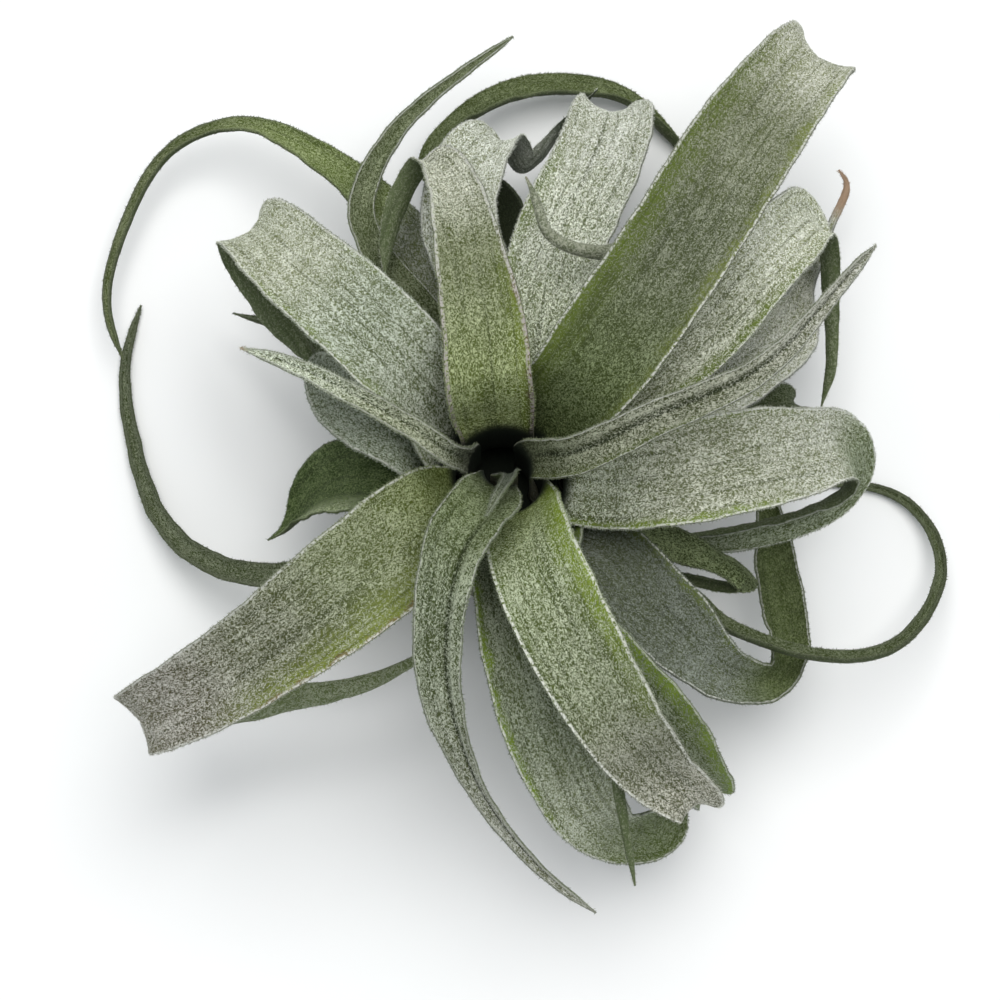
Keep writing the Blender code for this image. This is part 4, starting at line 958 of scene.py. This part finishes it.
        "scales": [(0.0, 0.022, 0.03, 0.012), (0.36, 0.022, 0.03, 0.012), (0.46, 0.115, 0.14, 0.068)]},
    "leftSpike": {"fuzz": 0.5, "tissue": (0.04, 0.05, 0.022), "scales": (0.1, 0.12, 0.075)},
}
for name in ("leftTendril", "rightHookLeaf", "backLeftTendril", "loopTendril", "arcTendril", "leftSpike",
             "leftCurlLeaf"):
    looks[name].update(rimShare=0.25, rim=(0.24, 0.26, 0.20), under=(0.050, 0.068, 0.026),
                       underScales=(0.11, 0.13, 0.07))


def principled(name, roughness, gloss):
    made = bpy.data.materials.new(name)
    made.use_nodes = True
    shader = made.node_tree.nodes["Principled BSDF"]
    shader.inputs["Roughness"].default_value = roughness
    shader.inputs["Specular IOR Level"].default_value = gloss
    return made, made.node_tree, shader.inputs


def gained(colour, gain):
    return tuple(channel * share for channel, share in zip(colour, gain))


def toned(look, what, gain):
    shares = tuple(share * look["gain"] for share in felt[gain])
    if isinstance(look[what], tuple):
        return gained(look[what], shares)
    return [(at, *gained(colour, shares)) for at, *colour in look[what]]


def stopsNode(tree, value, stops):  # colours or shares that change along a leaf
    if isinstance(stops, tuple):
        return stops
    made = node(tree, "ShaderNodeValToRGB")
    made.color_ramp.interpolation = "EASE"
    elements = made.color_ramp.elements
    elements.remove(elements[1])
    for index, (at, *what) in enumerate(stops):
        element = elements[0] if index == 0 else elements.new(at)
        element.position = at
        element.color = (*what * (3 // len(what)), 1.0)
    feed(tree, made.inputs[0], value)
    return made.outputs["Color"]


def dryEnd(tree, along, colour, look):
    if "dryFrom" not in look:
        return colour
    dry = rangeNode(tree, along, look["dryFrom"], look["dryFrom"] + felt["dryFade"])
    return mixNode(tree, dry, colour, look["dryTip"])


def leafFinish(name, look):
    made, tree, skin = principled(name, look["roughness"], look["gloss"])
    along = attributeNode(tree, "along")
    lower = minus(tree, 1.0, rangeNode(tree, attributeNode(tree, "upper"), *felt["faceEnds"]))
    opened = attributeNode(tree, "open")
    sheathed = rangeNode(tree, opened, *felt["sheathEnds"])
    rim = placeGroup(tree, marginGroup, {"Edge": look["edge"]})["Rim"]
    vein = placeGroup(tree, veinGroup, {})["Vein"]

    tissue = stopsNode(tree, along, toned(look, "tissue", "tissueGain"))
    cover = stopsNode(tree, along, look["cover"])
    for side, width, strength, colour, loss in look["zones"]:
        zone = placeGroup(tree, marginGroup, {"Zone": width})[side]
        zone = times(tree, zone, stopsNode(tree, along, strength))
        tissue = mixNode(tree, zone, tissue, gained(colour, felt["zoneGain"]))
        cover = times(tree, cover, minus(tree, 1.0, times(tree, zone, loss)))
    under = mixNode(tree, sheathed, stopsNode(tree, along, look["under"]), felt["sheathTissue"])
    tissue = mixNode(tree, lower, tissue, under)
    tissue = mixNode(tree, times(tree, vein, look["vein"]), tissue, felt["veinTone"])
    underScales = mixNode(tree, sheathed, stopsNode(tree, along, look["underScales"]), felt["sheathScales"])
    scaleTone = mixNode(tree, lower, stopsNode(tree, along, toned(look, "scales", "scaleGain")), underScales)
    cover = mixNode(tree, lower, cover, (look["underCover"],) * 3)
    cover = minus(tree, cover, times(tree, vein, felt["veinCover"]))

    height = times(tree, vein, felt["veinDepth"])
    for place, width, start, end, depth in look["creases"]:
        values = {"Place": place, "Width": width, "Start": start, "End": end}
        crease = placeGroup(tree, creaseGroup, values)["Crease"]
        # Painted shade in a crease's groove; a ridge's thicker, paler felt is partly a painted highlight
        if depth > 0.0:
            tissue = mixNode(tree, times(tree, crease, depth), tissue, felt["creaseShadeTone"])
        cover = minus(tree, cover, times(tree, crease, depth * felt["foldCover"]))
        height = minus(tree, height, times(tree, crease, depth * felt["foldDepth"]))
    scales = placeGroup(tree, scaleGroup, {"Cover": cover})
    shaded = mixNode(tree, 1.0, scaleTone, felt["shaded"], "MULTIPLY")
    scaleTone = mixNode(tree, times(tree, scales["Shade"], felt["shadedShare"]), scaleTone, shaded)
    colour = mixNode(tree, scales["Fleck"], tissue, scaleTone)
    colour = mixNode(tree, times(tree, rim, look["rimShare"]), colour, stopsNode(tree, along, look["rim"]))
    colour = dryEnd(tree, along, colour, look)
    # Painted shade: upper faces still inside their sheaths, deep in the throat, turn near black
    bare = mathNode(tree, "MAXIMUM", rangeNode(tree, opened, *felt["throatShadeEnds"]), lower)
    feed(tree, skin["Base Color"], mixNode(tree, bare, felt["throatShade"], colour))

    bump = node(tree, "ShaderNodeBump")
    bump.inputs["Strength"].default_value = look["bump"]
    bump.inputs["Distance"].default_value = felt["bumpDistance"]
    feed(tree, bump.inputs["Height"], plus(tree, scales["Fleck"], height))
    feed(tree, skin["Normal"], bump.outputs[0])
    return made


def fuzzFinish(name, look):
    made, tree, hair = principled(name, felt["hairRoughness"], felt["hairGloss"])
    along = attributeNode(tree, "along")
    upper = attributeNode(tree, "upper")
    under = stopsNode(tree, along, look["underScales"])
    dimUnder = mixNode(tree, 1.0, under, felt["dimUnder"], "MULTIPLY")
    dim = mixNode(tree, upper, dimUnder, stopsNode(tree, along, toned(look, "scales", "dimHair")))
    pale = mixNode(tree, upper, under, stopsNode(tree, along, toned(look, "scales", "paleHair")))
    colour = mixNode(tree, attributeNode(tree, "shade"), dim, pale)
    feed(tree, hair["Base Color"], dryEnd(tree, along, colour, look))
    return made


stemBark = {
    "rings": 260.0, "twist": 6.0, "fibre": 3.0, "dark": (0.035, 0.022, 0.012), "pale": (0.14, 0.095, 0.055),
    "depth": 0.0004, "roughness": 0.85, "gloss": 0.5,
}


def stemFinish():
    # Dry corky stem: dark rings with paler fibre
    made, tree, bark = principled("dryStem", stemBark["roughness"], stemBark["gloss"])
    rings = node(tree, "ShaderNodeTexWave", bands_direction="Z")
    feed(tree, rings.inputs["Vector"], node(tree, "ShaderNodeTexCoord").outputs["Object"])
    for label, key in (("Scale", "rings"), ("Distortion", "twist"), ("Detail", "fibre")):
        rings.inputs[label].default_value = stemBark[key]
    feed(tree, bark["Base Color"], mixNode(tree, rings.outputs["Fac"], stemBark["dark"], stemBark["pale"]))
    bump = node(tree, "ShaderNodeBump")
    bump.inputs["Distance"].default_value = stemBark["depth"]
    feed(tree, bump.inputs["Height"], rings.outputs["Fac"])
    feed(tree, bark["Normal"], bump.outputs[0])
    return made


growthSeed = 7
rng = np.random.default_rng(growthSeed)
for name, leaf in leaves.items():
    piece, grid = buildLeaf(name, leaf, rng)
    look = dict(plainLook, **looks[name])
    piece.data.materials.append(leafFinish(name + "Skin", look))
    scalePiece = buildFuzz(name + "Scales", grid, look["fuzz"], rng)
    scalePiece.data.materials.append(fuzzFinish(name + "Felt", look))
print("leaves grown:", len(leaves))

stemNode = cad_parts["stem"]
stemNode.data.materials.clear()
stemNode.data.materials.append(stemFinish())
print("stem finished")

# Table top and light: a wide pale sheet, and one big soft light from above and a little behind
studio = {
    "floorColour": (0.855, 0.875, 0.87), "floorCloud": (0.90, 0.90, 0.90), "cloudScale": 7.0,
    "floorSize": 6.0, "floorRoughness": 0.55, "floorGloss": 0.2,
    "world": (0.93, 0.96, 1.0), "worldStrength": 0.62,
    "key": {"place": (0.15, 0.35, 1.5), "size": 1.6, "power": 20.0, "colour": (1.0, 0.985, 0.96)},
}


def buildFloor():
    half = studio["floorSize"] / 2.0
    mesh = bpy.data.meshes.new("tableTop")
    corners = [(-half, -half, 0), (half, -half, 0), (half, half, 0), (-half, half, 0)]
    mesh.from_pydata(corners, [], [(0, 1, 2, 3)])

    floor = bpy.data.objects.new("tableTop", mesh)
    bpy.context.scene.collection.objects.link(floor)
    made, tree, sheet = principled("paleTable", studio["floorRoughness"], studio["floorGloss"])
    cloud = noiseNode(tree, node(tree, "ShaderNodeTexCoord").outputs["Object"], studio["cloudScale"])
    tone = mixNode(tree, cloud.outputs[0], studio["floorColour"], studio["floorCloud"])
    feed(tree, sheet["Base Color"], tone)
    mesh.materials.append(made)


def buildLight(name, spec):
    lamp = bpy.data.lights.new(name, "AREA")
    lamp.shape = "DISK"
    lamp.size = spec["size"]
    lamp.energy = spec["power"]
    lamp.color = spec["colour"]
    holder = bpy.data.objects.new(name, lamp)
    holder.location = spec["place"]
    holder.rotation_euler = Vector(spec["place"]).to_track_quat("Z", "Y").to_euler()
    bpy.context.scene.collection.objects.link(holder)


def buildWorld():
    world = bpy.data.worlds.new("softRoom")
    world.use_nodes = True
    backdrop = world.node_tree.nodes["Background"]
    backdrop.inputs["Color"].default_value = (*studio["world"], 1.0)
    backdrop.inputs["Strength"].default_value = studio["worldStrength"]
    bpy.context.scene.world = world


buildFloor()
buildLight("keyLight", studio["key"])
buildWorld()
bpy.context.scene.view_settings.view_transform = "Standard"
print("studio ready")
